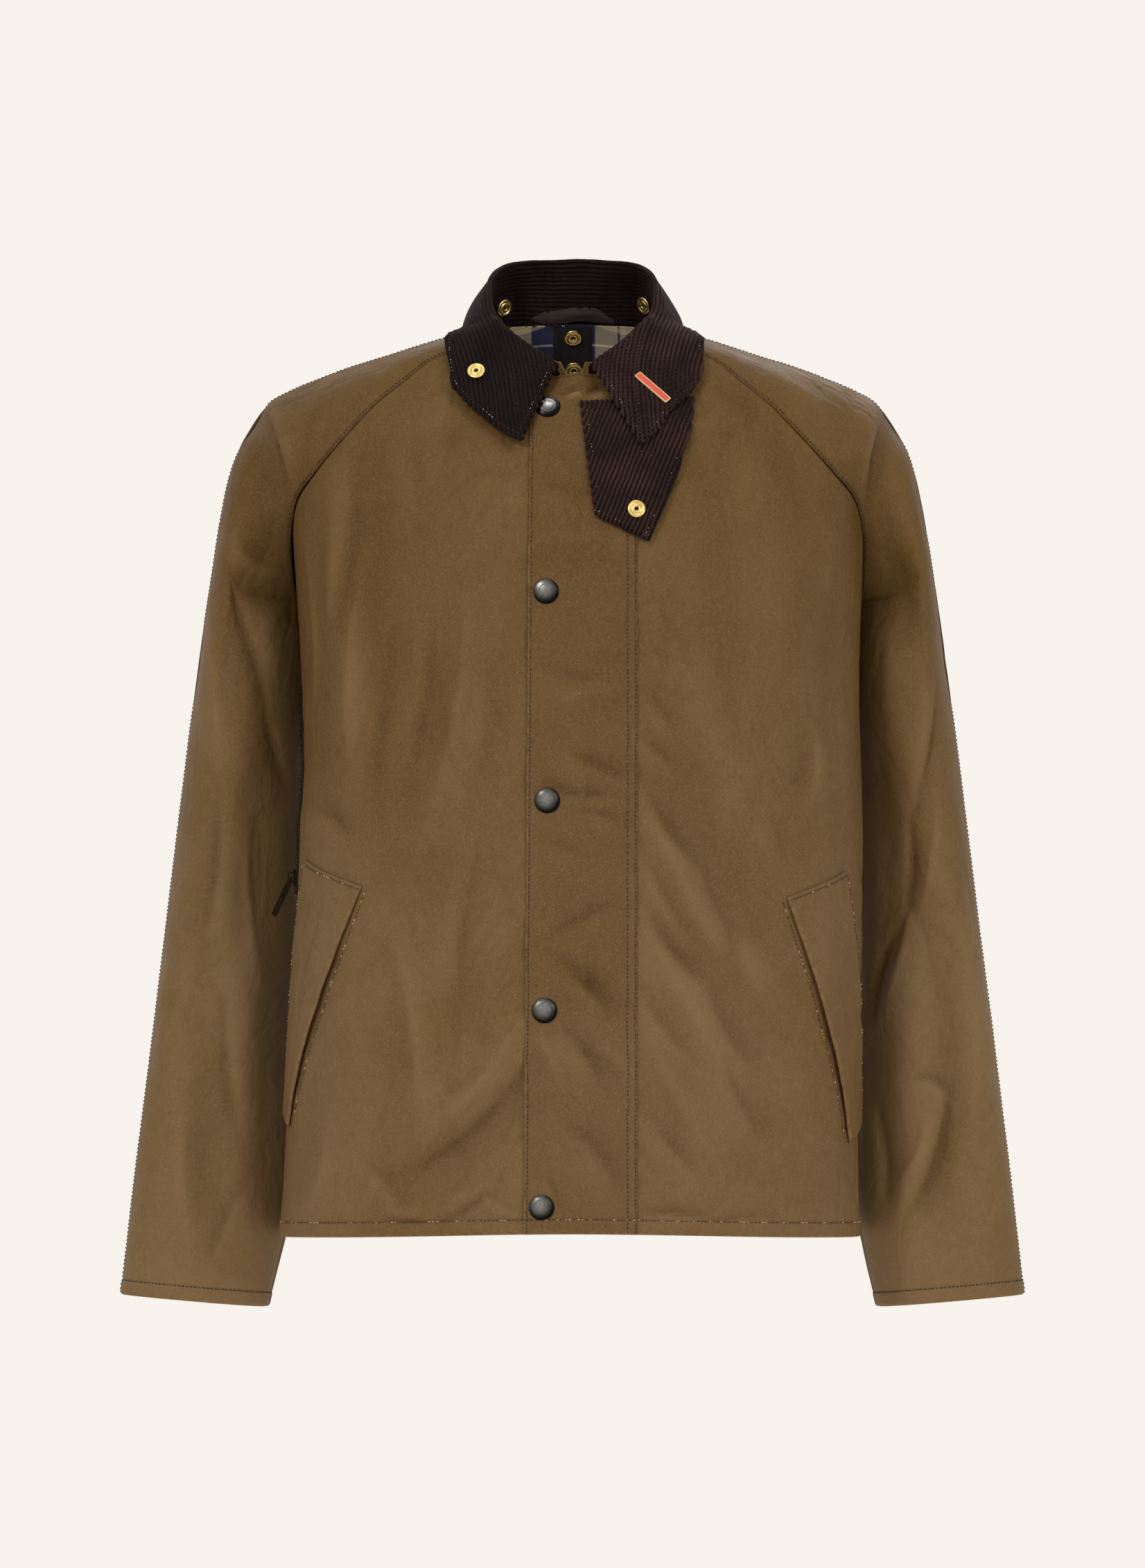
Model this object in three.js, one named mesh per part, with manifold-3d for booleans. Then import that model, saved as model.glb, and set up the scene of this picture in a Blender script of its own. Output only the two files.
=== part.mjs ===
// A short waxed cotton jacket with raglan sleeves, filled out as if worn, with no wearer in it.
// Millimetres, +Z up. The wearer faces -Y, so the wearer's right side is at -X.
// The origin is the middle of the neck opening, level with the points where shoulder meets neck.
import * as THREE from "three";
import { mergeVertices } from "three/addons/utils/BufferGeometryUtils.js";
import Module from "manifold-3d";

const wasm = await Module();
wasm.setup();

// Driving sizes
const CLOTH = 2; // wall of waxed cotton with its lining
const SEAM_GAP = 0.4; // between two pieces that are sewn together
const LAY_GAP = 0.35; // between a panel and what lies on it
const BODY_POWER = 2.3; // squareness of the body's sections: 2 is an ellipse
const HEM_Z = -646;
const HEM_LIFT = 4; // how much higher the hem hangs at the centre front
const HEM_BAND = 10; // height of the turned-up hem
const HEM_RAISE = 0.5; // extra thickness of that hem
const ARMPIT_Z = -190;
const ARMPIT_ANGLE = 98; // angles go round the body from 0 at the centre front to 180 at the centre back
const NECK_FRONT_Z = -30;
const NECK_BACK_Z = 14;
const FRONT_EDGE_X = 8; // where the two fronts meet under the storm flap
const FLAP_SEAM_X = 47;
const FLAP_RISE = 4; // arch of the flap's top edge

const BODY_ROWS = 15; // from hem to armpit
const ARM_ROWS = 14; // from cuff to armpit
const RAGLAN_ROWS = 10; // from armpit to neck
const FLAP_COLUMNS = 3; // on each side of the front edges
const FRONT_COLUMNS = 11; // from flap to side
const BACK_COLUMNS = 9; // from side to centre back
const SLEEVE_COLUMNS = 8; // in each half of a sleeve

// Half widths and depths of the body at each height
const TORSO = [
  { z: -660, right: 212.5, left: 208.5, front: 131, back: 117 },
  { z: -600, right: 208.5, left: 206, front: 132, back: 117 },
  { z: -530, right: 205, left: 206.5, front: 133, back: 116 },
  { z: -445, right: 200.5, left: 208.5, front: 133, back: 115 },
  { z: -345, right: 196.5, left: 209.5, front: 134, back: 116 },
  { z: -255, right: 198, left: 207.5, front: 137, back: 120 },
  { z: -190, right: 200.5, left: 208.5, front: 137, back: 124 },
  { z: -140, right: 203, left: 209.5, front: 131, back: 125 },
  { z: -100, right: 204, left: 208, front: 119, back: 121 },
  { z: -60, right: 204, left: 205, front: 99, back: 111 },
  { z: -30, right: 203, left: 203, front: 78, back: 99 },
  { z: 0, right: 202, left: 202, front: 58, back: 80 },
  { z: 20, right: 202, left: 202, front: 47, back: 64 },
];

// The raglan seams from armpit (at 0) to neck (at 1), as an angle round the body and a height,
// with the direction in which the sleeve's cloth leaves the seam: outwards, back and up
const FRONT_SEAM = [
  { at: 0, angle: 98, z: -190, out: 45, back: -55, up: 8 },
  { at: 0.1, angle: 91, z: -164, out: 40, back: -42, up: 10 },
  { at: 0.2, angle: 85.5, z: -138, out: 34, back: -26, up: 12 },
  { at: 0.3, angle: 80, z: -117, out: 30, back: -10, up: 14 },
  { at: 0.4, angle: 73.5, z: -100, out: 28, back: -2, up: 16 },
  { at: 0.5, angle: 69.3, z: -84, out: 25, back: 4, up: 18 },
  { at: 0.6, angle: 65.7, z: -65, out: 21, back: 8, up: 18 },
  { at: 0.7, angle: 63.3, z: -46.5, out: 17, back: 11, up: 16 },
  { at: 0.8, angle: 60.9, z: -30, out: 14, back: 13, up: 13 },
  { at: 0.9, angle: 58.5, z: -15, out: 12, back: 15, up: 9 },
  { at: 1, angle: 51, z: -3, out: 10, back: 17, up: 4 },
];
const BACK_SEAM = [
  { at: 0, angle: 98, z: -190, out: 4, back: 62, up: 0 },
  { at: 0.1, angle: 103, z: -160, out: 20, back: 45, up: 6 },
  { at: 0.2, angle: 107, z: -133, out: 26, back: 30, up: 10 },
  { at: 0.3, angle: 110, z: -110, out: 28, back: 16, up: 13 },
  { at: 0.4, angle: 112.5, z: -92, out: 27, back: 6, up: 15 },
  { at: 0.5, angle: 114.5, z: -75, out: 25, back: -3, up: 17 },
  { at: 0.6, angle: 116.5, z: -57, out: 21, back: -8, up: 17 },
  { at: 0.7, angle: 119, z: -39, out: 17, back: -11, up: 15 },
  { at: 0.8, angle: 122, z: -22, out: 14, back: -14, up: 12 },
  { at: 0.9, angle: 129, z: -5, out: 12, back: -15, up: 8 },
  { at: 1, angle: 148, z: 12.5, out: 14, back: -9, up: 1 },
];

// The over-arm seam from armpit level to neck: its place, and how far the cloth runs
// level to the front and back of it before it bends down
const SHOULDER = [
  { at: 0, x: 258.8, y: 32, z: -154.5, front: 84, back: 92, dip: 0 },
  { at: 0.1, x: 253.8, y: 31, z: -124.5, front: 72, back: 80, dip: 1 },
  { at: 0.2, x: 247.8, y: 29, z: -97.5, front: 64, back: 70, dip: 2 },
  { at: 0.3, x: 238.3, y: 26, z: -70.5, front: 58, back: 64, dip: 4 },
  { at: 0.4, x: 223.8, y: 22, z: -50, front: 54, back: 58, dip: 5 },
  { at: 0.5, x: 204.58, y: 18, z: -37, front: 50, back: 54, dip: 6 },
  { at: 0.6, x: 182.58, y: 15, z: -27.5, front: 46, back: 50, dip: 7 },
  { at: 0.7, x: 159.58, y: 12, z: -19, front: 43, back: 46, dip: 7 },
  { at: 0.8, x: 133.5, y: 9, z: -11, front: 40, back: 42, dip: 7 },
  { at: 0.9, x: 108.5, y: 7, z: -3, front: 36, back: 38, dip: 5 },
  { at: 1, x: 82, y: 5, z: 5, front: 30, back: 32, dip: 3 },
];

// The arm from cuff (at 0) to armpit level (at 1): the outer line, the inner line, how far
// each half bulges, and how much the inner side leans away from the body
const ARM = [
  { at: 0, outX: 326.8, outY: 46, outZ: -689, inX: 220, inY: 46, inZ: -698, front: 47, back: 47, lean: 0.1 },
  { at: 0.18, outX: 316.3, outY: 50, outZ: -598, inX: 201, inY: 58, inZ: -608, front: 58, back: 62, lean: 0.35 },
  { at: 0.36, outX: 304.3, outY: 56, outZ: -503, inX: 197, inY: 66, inZ: -517, front: 68, back: 76, lean: 0.4 },
  { at: 0.56, outX: 291.8, outY: 59, outZ: -400, inX: 193, inY: 68, inZ: -417, front: 76, back: 86, lean: 0.42 },
  { at: 0.74, outX: 279.8, outY: 55, outZ: -304, inX: 191, inY: 60, inZ: -325, front: 82, back: 92, lean: 0.42 },
  { at: 0.88, outX: 268.8, outY: 43, outZ: -220, inX: 190, inY: 44, inZ: -250, front: 86, back: 94, lean: 0.5 },
  { at: 1, outX: 258.8, outY: 32, outZ: -155, inX: 190, inY: 28, inZ: -190, front: 84, back: 92, lean: 0.6 },
];
const ARM_CLEARANCE = 3; // between an arm and the body
const LEFT_ARM_OUT = 8; // the body is this much wider on its left, so the left sleeve's inner side starts further out

// The largest soft folds. Each runs from one point to another of its panel, as seen from the front
// (or the back), and has a half width and a depth: over 0 is a ridge and under 0 a trough.
const FRONT_FOLDS = [
  { x1: -186, z1: -120, x2: -187, z2: -330, width: 13, depth: -5 },
  { x1: -166, z1: -125, x2: -170, z2: -300, width: 11, depth: 3 },
  { x1: -146, z1: -95, x2: -150, z2: -260, width: 13, depth: -3 },
  { x1: -106, z1: -320, x2: -92, z2: -520, width: 26, depth: -3 },
  { x1: -110, z1: -598, x2: -40, z2: -545, width: 16, depth: -5 },
  { x1: -120, z1: -560, x2: -44, z2: -505, width: 17, depth: 3 },
  { x1: 60, z1: -270, x2: 110, z2: -400, width: 17, depth: -3.5 },
  { x1: 84, z1: -250, x2: 135, z2: -370, width: 17, depth: 3 },
  { x1: 188, z1: -170, x2: 190, z2: -330, width: 14, depth: -3.5 },
  { x1: 70, z1: -540, x2: 150, z2: -620, width: 20, depth: -3 },
  { x1: -28, z1: -440, x2: 44, z2: -492, width: 12, depth: -3 },
  { x1: -30, z1: -322, x2: 40, z2: -318, width: 12, depth: -2.5 },
];
const BACK_FOLDS = [
  { x1: -150, z1: -150, x2: -120, z2: -420, width: 18, depth: -6 },
  { x1: -112, z1: -180, x2: -84, z2: -470, width: 20, depth: 5 },
  { x1: 146, z1: -160, x2: 122, z2: -400, width: 18, depth: -6 },
  { x1: 108, z1: -170, x2: 90, z2: -500, width: 20, depth: 4 },
  { x1: -40, z1: -300, x2: -18, z2: -610, width: 24, depth: -5 },
  { x1: 30, z1: -260, x2: 44, z2: -600, width: 22, depth: 4 },
];
// On the sleeves x counts outwards from the middle of the body
const SLEEVE_FRONT_FOLDS = [
  { x1: 229, z1: -58, x2: 214, z2: -132, width: 11, depth: -7 },
  { x1: 212, z1: -52, x2: 197, z2: -108, width: 12, depth: 3.5 },
  { x1: 222, z1: -150, x2: 262, z2: -250, width: 16, depth: -5 },
  { x1: 215, z1: -200, x2: 250, z2: -330, width: 16, depth: 4 },
  { x1: 268, z1: -420, x2: 262, z2: -620, width: 15, depth: -4.5 },
  { x1: 236, z1: -420, x2: 240, z2: -640, width: 14, depth: 3.5 },
  { x1: 226, z1: -330, x2: 236, z2: -440, width: 15, depth: -4 },
];
const SLEEVE_BACK_FOLDS = [
  { x1: 226, z1: -70, x2: 208, z2: -150, width: 14, depth: -6 },
  { x1: 212, z1: -210, x2: 252, z2: -290, width: 18, depth: -4 },
  { x1: 222, z1: -262, x2: 262, z2: -335, width: 18, depth: 3 },
  { x1: 226, z1: -345, x2: 268, z2: -400, width: 18, depth: -4 },
  { x1: 268, z1: -450, x2: 276, z2: -640, width: 18, depth: -3.5 },
];

// Pocket welts: the corners of each, as angle round the body and height
const WELTS = {
  right: { front: [57.6, -394], rear: [78, -375], lowFront: [81, -567], lowRear: [96, -552] },
  left: { front: [57.1, -402], rear: [73.9, -383.5], lowFront: [77.3, -578], lowRear: [92.5, -563] },
};
const WELT_LIFT = 3; // how far the open edge stands off
const WELT_GAP = 0.9;

// Press studs down the flap
const STUD_RADIUS = 9.1;
const STUD_HEIGHT = 3;
const STUDS = [
  { x: -17.7, z: -50.5 },
  { x: -18.8, z: -182.8 },
  { x: -18, z: -332.3 },
  { x: -20, z: -482.5 },
  { x: -22, z: -623.3 },
];

// The collar, from its front end (at 0) to the centre back (at 1): the roll line where it
// folds over, the edge of the fall, and how far the fall's inside stands off the panels
const COLLAR_WALL = 2.6;
const ROLL_RADIUS = 5;
const FALL_HOLLOW = 8; // how far the fall's middle is drawn in towards the neck
const COLLAR = [
  { at: 0, rollX: 11, rollY: -86, rollZ: -18, edgeX: 36.5, edgeY: -117, edgeZ: -74, lift: 6.6 },
  { at: 0.09, rollX: 23, rollY: -81, rollZ: -10, edgeX: 51.5, edgeY: -112, edgeZ: -66, lift: 6.6 },
  { at: 0.19, rollX: 37, rollY: -71, rollZ: 0, edgeX: 63.5, edgeY: -104, edgeZ: -57, lift: 6.6 },
  { at: 0.3, rollX: 50, rollY: -54, rollZ: 11, edgeX: 77, edgeY: -92, edgeZ: -47, lift: 6.8 },
  { at: 0.41, rollX: 58, rollY: -34, rollZ: 23, edgeX: 87, edgeY: -76, edgeZ: -32, lift: 6 },
  { at: 0.52, rollX: 60, rollY: -10, rollZ: 36, edgeX: 86, edgeY: -44, edgeZ: -11, lift: 4.7 },
  { at: 0.64, rollX: 57.5, rollY: 15, rollZ: 47, edgeX: 75.5, edgeY: 2, edgeZ: 8, lift: 2.8 },
  { at: 0.76, rollX: 48, rollY: 38, rollZ: 55, edgeX: 68, edgeY: 62, edgeZ: 5, lift: 5 },
  { at: 0.88, rollX: 28, rollY: 52, rollZ: 58.5, edgeX: 44, edgeY: 93, edgeZ: -5, lift: 4.5 },
  { at: 1, rollX: 0, rollY: 57, rollZ: 59.5, edgeX: 0, edgeY: 103, edgeZ: -8, lift: 4.5 },
];
const COLLAR_STATIONS = 14; // from front end to centre back
const COLLAR_RIBS = 29; // cord ribs across stand and fall
const COLLAR_PLAIN = 13; // columns of its plain hidden side
const RIB_HEIGHT = 0.6;

// The throat tab that hangs under the left fall: its two long edges, as seen from the front
const TAB_WALL = 2.6;
const TAB_RIBS = 17;
const TAB = [
  { at: 0, leftX: 6, leftZ: -46, rightX: 87, rightZ: -43 },
  { at: 0.3, leftX: 9, leftZ: -70, rightX: 83, rightZ: -72 },
  { at: 0.6, leftX: 12.5, leftZ: -97, rightX: 71, rightZ: -107 },
  { at: 1, leftX: 16.5, leftZ: -128, rightX: 54.5, rightZ: -146 },
];
const TAB_ROWS = 8;

// Brass rings, each round a small hole
const RING_RADIUS = 6.5;
const RING_HOLE = 1.7;
const RING_HEIGHT = 1.6;
const RING_GAP = 0.3 + RIB_HEIGHT;
const LINING = { gap: 0.4, wall: 1, firstRow: 4 }; // over the upper back, from this raglan row up
const TAPE = { halfWidth: 14, top: 11, bottom: -44, wall: 0.8 };
const LOOP = { halfLength: 30, width: 9, wall: 1.2, low: 19, arch: 4, stand: 2.2 };
const PIN = { x: 57.4, z: -34.5, length: 32, height: 5.6, thick: 1.3, turn: -41 };

// The side zip in front of the wearer's right side seam
const ZIP = { angle: 88, top: -250, bottom: -388, width: 13, wall: 1 };
const SLIDER = { width: 8.4, length: 12, height: 2.2, pivot: 3.5, bridge: 1.8, bridgeLength: 8, bridgeTop: 6 };
const PULL = { length: 30, width: 7.6, neck: 6.2, thick: 1.6, eye: 3.2, eyeLength: 6, rim: 1.2, rest: 25 };

const CHECK = { color: 0x4a4f42, roughness: 0.8, metalness: 0 };
const TAPE_BLACK = { color: 0x1a1817, roughness: 0.85, metalness: 0 };
const LOOP_PLUM = { color: 0x3e2e2c, roughness: 0.9, metalness: 0 };
const ENAMEL = { color: 0xc5412a, roughness: 0.25, metalness: 0 };
const BRONZE = { color: 0x4a3a2c, roughness: 0.4, metalness: 1 };
const CORD = { color: 0x2c1d1c, roughness: 0.95, metalness: 0 };
const WAX = { color: 0x6b5230, roughness: 0.6, metalness: 0 };
const BRASS = { color: 0xc9a24a, roughness: 0.3, metalness: 1 };
const GUNMETAL = { color: 0x3b3a39, roughness: 0.3, metalness: 1 };

const vec = (x, y, z) => new THREE.Vector3(x, y, z);
const mix = (a, b, t) => a + (b - a) * t;
const clamp01 = (t) => Math.min(Math.max(t, 0), 1);
const radians = (degrees) => (degrees * Math.PI) / 180;
const span = (count) => Array.from({ length: count + 1 }, (_, i) => i);

// The value of one column of a table where its key column has the value `where`, on a smooth curve through the rows
function follow(table, key, column, where) {
  const last = table.length - 1;
  const rises = table[last][key] > table[0][key];
  let k = 0;
  while (k < last - 1 && (rises ? where > table[k + 1][key] : where < table[k + 1][key])) k++;
  const slope = (i) => {
    const before = table[Math.max(i - 1, 0)];
    const after = table[Math.min(i + 1, last)];
    return (after[column] - before[column]) / (after[key] - before[key]);
  };
  const step = table[k + 1][key] - table[k][key];
  const t = clamp01((where - table[k][key]) / step);
  const [t2, t3] = [t * t, t * t * t];
  return (
    (2 * t3 - 3 * t2 + 1) * table[k][column] +
    (t3 - 2 * t2 + t) * step * slope(k) +
    (3 * t2 - 2 * t3) * table[k + 1][column] +
    (t3 - t2) * step * slope(k + 1)
  );
}

// A point of the body's surface. side is -1 on the wearer's right and 1 on the left.
function bodyPoint(side, angle, z) {
  const [s, c] = [Math.sin(radians(angle)), Math.cos(radians(angle))];
  const width = follow(TORSO, "z", side < 0 ? "right" : "left", z);
  const depth = follow(TORSO, "z", c > 0 ? "front" : "back", z);
  const sum = Math.abs(s / width) ** BODY_POWER + Math.abs(c / depth) ** BODY_POWER;
  const reach = sum ** (-1 / BODY_POWER);
  return vec(side * reach * s, -reach * c, z);
}

const NEAR = 40; // furthest that a piece is from what it is pushed clear of
const bodyAngle = (p) => THREE.MathUtils.radToDeg(Math.atan2(Math.abs(p.x), -p.y));

function bezier(a, b, c, d, t) {
  const u = 1 - t;
  const weights = [u * u * u, 3 * u * u * t, 3 * u * t * t, t * t * t];
  return [a, b, c, d].reduce((sum, p, i) => sum.addScaledVector(p, weights[i]), vec(0, 0, 0));
}

// How far the folds move the cloth at a point seen at (x, z)
function foldDepth(folds, x, z) {
  let depth = 0;
  for (const f of folds) {
    const [dx, dz] = [f.x2 - f.x1, f.z2 - f.z1];
    const t = clamp01(((x - f.x1) * dx + (z - f.z1) * dz) / (dx * dx + dz * dz));
    const away = Math.hypot(x - f.x1 - dx * t, z - f.z1 - dz * t);
    depth += f.depth * (1 - Math.abs(2 * t - 1) ** 3 * 0.6) * Math.exp(-((away / f.width) ** 2));
  }
  return depth;
}

// Unit normals of a grid of points; turn is 1 or -1 and sets the side they are on
function gridNormals(grid, turn) {
  return grid.map((row, j) =>
    row.map((_, i) => {
      const across = row[Math.min(i + 1, row.length - 1)].clone().sub(row[Math.max(i - 1, 0)]);
      const up = grid[Math.min(j + 1, grid.length - 1)][i].clone().sub(grid[Math.max(j - 1, 0)][i]);
      return across.cross(up).normalize().multiplyScalar(turn);
    }),
  );
}

const moved = (grid, normals, by) =>
  grid.map((row, j) => row.map((p, i) => p.clone().addScaledVector(normals[j][i], typeof by === "number" ? by : by(i, j, p))));

// Draws each border of a grid in by half a seam's gap
function insetBorders(grid, by) {
  const [rows, columns] = [grid.length, grid[0].length];
  const inset = grid.map((row) => row.map((p) => p.clone()));
  const draw = (j, i, j2, i2) => {
    const towards = grid[j2][i2].clone().sub(grid[j][i]).normalize();
    inset[j][i].addScaledVector(towards, by);
  };
  for (let j = 0; j < rows; j++) {
    draw(j, 0, j, 1);
    draw(j, columns - 1, j, columns - 2);
  }
  for (let i = 0; i < columns; i++) {
    draw(0, i, 1, i);
    draw(rows - 1, i, rows - 2, i);
  }
  return inset;
}

// The two triangles of a grid's cell, divided by its shorter diagonal
function halves(grid, j, i) {
  const rising = grid[j][i].distanceTo(grid[j + 1][i + 1]) <= grid[j][i + 1].distanceTo(grid[j + 1][i]);
  const [a, b, c, d] = [[j, i], [j, i + 1], [j + 1, i + 1], [j + 1, i]];
  return rising ? [[a, b, c], [a, c, d]] : [[a, b, d], [b, c, d]];
}

// A closed wall between an outer and an inner grid, which have as many rows but not always as many columns
function wallBetween(outer, inner, normals) {
  const positions = [];
  const indices = [];
  const place = (grid) =>
    grid.map((row) =>
      row.map((p) => {
        positions.push(p.x, p.y, p.z);
        return positions.length / 3 - 1;
      }),
    );
  const [out, inn] = [place(outer), place(inner)];
  const rows = outer.length;
  const facing = outer[0][1].clone().sub(outer[0][0]).cross(outer[1][0].clone().sub(outer[0][0]));
  const forwards = facing.dot(normals[0][0]) > 0;
  const face = (a, b, c) => indices.push(...(forwards ? [a, b, c] : [a, c, b]));
  const skin = (grid, numbers, keep) => {
    for (let j = 0; j < rows - 1; j++)
      for (let i = 0; i < grid[j].length - 1; i++)
        for (const corners of halves(grid, j, i)) {
          const [a, b, c] = corners.map(([r, k]) => numbers[r][k]);
          face(...(keep ? [a, b, c] : [a, c, b]));
        }
  };
  skin(outer, out, true);
  skin(inner, inn, false);
  for (let j = 0; j < rows - 1; j++) {
    const [last, lastIn] = [out[j].length - 1, inn[j].length - 1];
    face(out[j][0], out[j + 1][0], inn[j + 1][0]);
    face(out[j][0], inn[j + 1][0], inn[j][0]);
    face(out[j][last], inn[j + 1][lastIn], out[j + 1][last]);
    face(out[j][last], inn[j][lastIn], inn[j + 1][lastIn]);
  }
  const closeRow = (a, b, keep) => {
    const turn = (p, q, r) => (keep ? face(p, q, r) : face(p, r, q));
    let [i, k] = [0, 0];
    while (i < a.length - 1 || k < b.length - 1) {
      const nextA = i < a.length - 1 ? (i + 1) / (a.length - 1) : Infinity;
      const nextB = k < b.length - 1 ? (k + 1) / (b.length - 1) : Infinity;
      if (nextA <= nextB) {
        turn(a[i], b[k], a[i + 1]);
        i++;
      } else {
        turn(a[i], b[k], b[k + 1]);
        k++;
      }
    }
  };
  closeRow(out[0], inn[0], true);
  closeRow(out[rows - 1], inn[rows - 1], false);
  const geometry = new THREE.BufferGeometry();
  geometry.setAttribute("position", new THREE.Float32BufferAttribute(positions, 3));
  geometry.setIndex(indices);
  geometry.computeVertexNormals();
  return geometry;
}

const wall = (panel, thickness) => wallBetween(panel.grid, moved(panel.grid, panel.normals, -thickness), panel.normals);

// The point and normal of a panel's faceted surface at a place given in the panel's own projection
function onPanel(panel, project, u, v) {
  const { grid, normals } = panel;
  let best = null;
  for (let j = 0; j < grid.length - 1; j++)
    for (let i = 0; i < grid[j].length - 1; i++)
      for (const corners of halves(grid, j, i)) {
        const [a, b, c] = corners.map(([r, k]) => project(grid[r][k]));
        const area = (b[0] - a[0]) * (c[1] - a[1]) - (c[0] - a[0]) * (b[1] - a[1]);
        const wb = ((u - a[0]) * (c[1] - a[1]) - (c[0] - a[0]) * (v - a[1])) / area;
        const wc = ((b[0] - a[0]) * (v - a[1]) - (u - a[0]) * (b[1] - a[1])) / area;
        const outside = Math.max(-wb, -wc, wb + wc - 1, 0);
        if (!best || outside < best.outside) best = { outside, corners, weights: [1 - wb - wc, wb, wc] };
      }
  const blend = (source) =>
    best.corners.reduce((sum, [r, k], n) => sum.addScaledVector(source[r][k], best.weights[n]), vec(0, 0, 0));
  return { point: blend(grid), normal: blend(normals).normalize() };
}

const seenFromFront = (p) => [p.x, p.z];
const roundBody = (p) => [bodyAngle(p), p.z];

// Rows shared by fronts, back and sleeves: first from hem to armpit, then up the raglan seams
const bodyRows = [0, HEM_BAND, HEM_BAND + 3].map((up) => ({ z: HEM_Z + up }));
const lowestFree = HEM_Z + HEM_BAND + 3;
for (let j = 1; j <= BODY_ROWS - 2; j++) bodyRows.push({ z: mix(lowestFree, ARMPIT_Z, j / (BODY_ROWS - 2)) });
const raglanRows = span(RAGLAN_ROWS).slice(1).map((j) => ({ at: j / RAGLAN_ROWS }));
const torsoRows = [...bodyRows, ...raglanRows];

// One place on the fronts (or the back), share being 0 at the centre and 1 at the side or raglan seam
function torsoPoint(side, row, angle, share, seam, centreZ) {
  const armpit = row.at === undefined;
  const edgeZ = armpit ? row.z : follow(seam, "at", "z", row.at);
  const middleZ = armpit ? row.z : mix(ARMPIT_Z, centreZ, row.at);
  let z = mix(middleZ, edgeZ, share * share);
  const near = clamp01(1 - (row.z - HEM_Z) / 60);
  if (armpit && centreZ === NECK_FRONT_Z) z += HEM_LIFT * near * Math.cos(radians(angle)) ** 2;
  return bodyPoint(side, angle, z);
}

const hemRaise = (row) => (row.z !== undefined && row.z <= HEM_Z + HEM_BAND ? HEM_RAISE : 0);

function finishPanel(grid, turn, folds, sleeve, raise) {
  const flat = gridNormals(grid, turn);
  const folded = moved(grid, flat, (i, j, p) => {
    const depth = foldDepth(folds, sleeve ? Math.abs(p.x) : p.x, p.z);
    return (sleeve ? clamp01(i / 2) * depth : depth) + raise(j);
  });
  const inset = insetBorders(folded, SEAM_GAP / 2);
  return { grid: inset, normals: gridNormals(inset, turn) };
}

const flapEdgeX = (z) => mix(-30.5, -35, clamp01(-z / -HEM_Z)); // free edge of the storm flap

function frontPanel(side) {
  const grid = torsoRows.map((row) => {
    const seamAngle = row.at === undefined ? ARMPIT_ANGLE : follow(FRONT_SEAM, "at", "angle", row.at);
    const middleZ = row.at === undefined ? row.z : mix(ARMPIT_Z, NECK_FRONT_Z, row.at);
    const depth = follow(TORSO, "z", "front", middleZ);
    const angleAt = (x) => THREE.MathUtils.radToDeg(Math.atan2(side * x, depth));
    const edge = angleAt(FRONT_EDGE_X);
    const flap = angleAt(side < 0 ? flapEdgeX(middleZ) : FLAP_SEAM_X);
    const angles = [
      ...span(FLAP_COLUMNS).map((i) => mix(edge, flap, i / FLAP_COLUMNS)),
      ...span(FRONT_COLUMNS).slice(1).map((i) => mix(flap, seamAngle, i / FRONT_COLUMNS)),
    ];
    return angles.map((a) => torsoPoint(side, row, a, clamp01(a / seamAngle), FRONT_SEAM, NECK_FRONT_Z));
  });
  return finishPanel(grid, side, FRONT_FOLDS, false, (j) => hemRaise(torsoRows[j]));
}

function backPanel() {
  const grid = torsoRows.map((row) => {
    const seamAngle = row.at === undefined ? ARMPIT_ANGLE : follow(BACK_SEAM, "at", "angle", row.at);
    const half = (side) =>
      span(BACK_COLUMNS).map((i) => {
        const share = 1 - i / BACK_COLUMNS;
        return torsoPoint(side, row, mix(180, seamAngle, share), share, BACK_SEAM, NECK_BACK_Z);
      });
    return [...half(-1), ...half(1).reverse().slice(1)];
  });
  return finishPanel(grid, -1, BACK_FOLDS, false, (j) => hemRaise(torsoRows[j]));
}

// Rows of a sleeve: cuff, its band, the arm, and then the raglan rows
const armRows = [0, 0.021, 0.027];
for (let j = 1; j <= ARM_ROWS - 2; j++) armRows.push(mix(0.027, 1, j / (ARM_ROWS - 2)));

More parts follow.
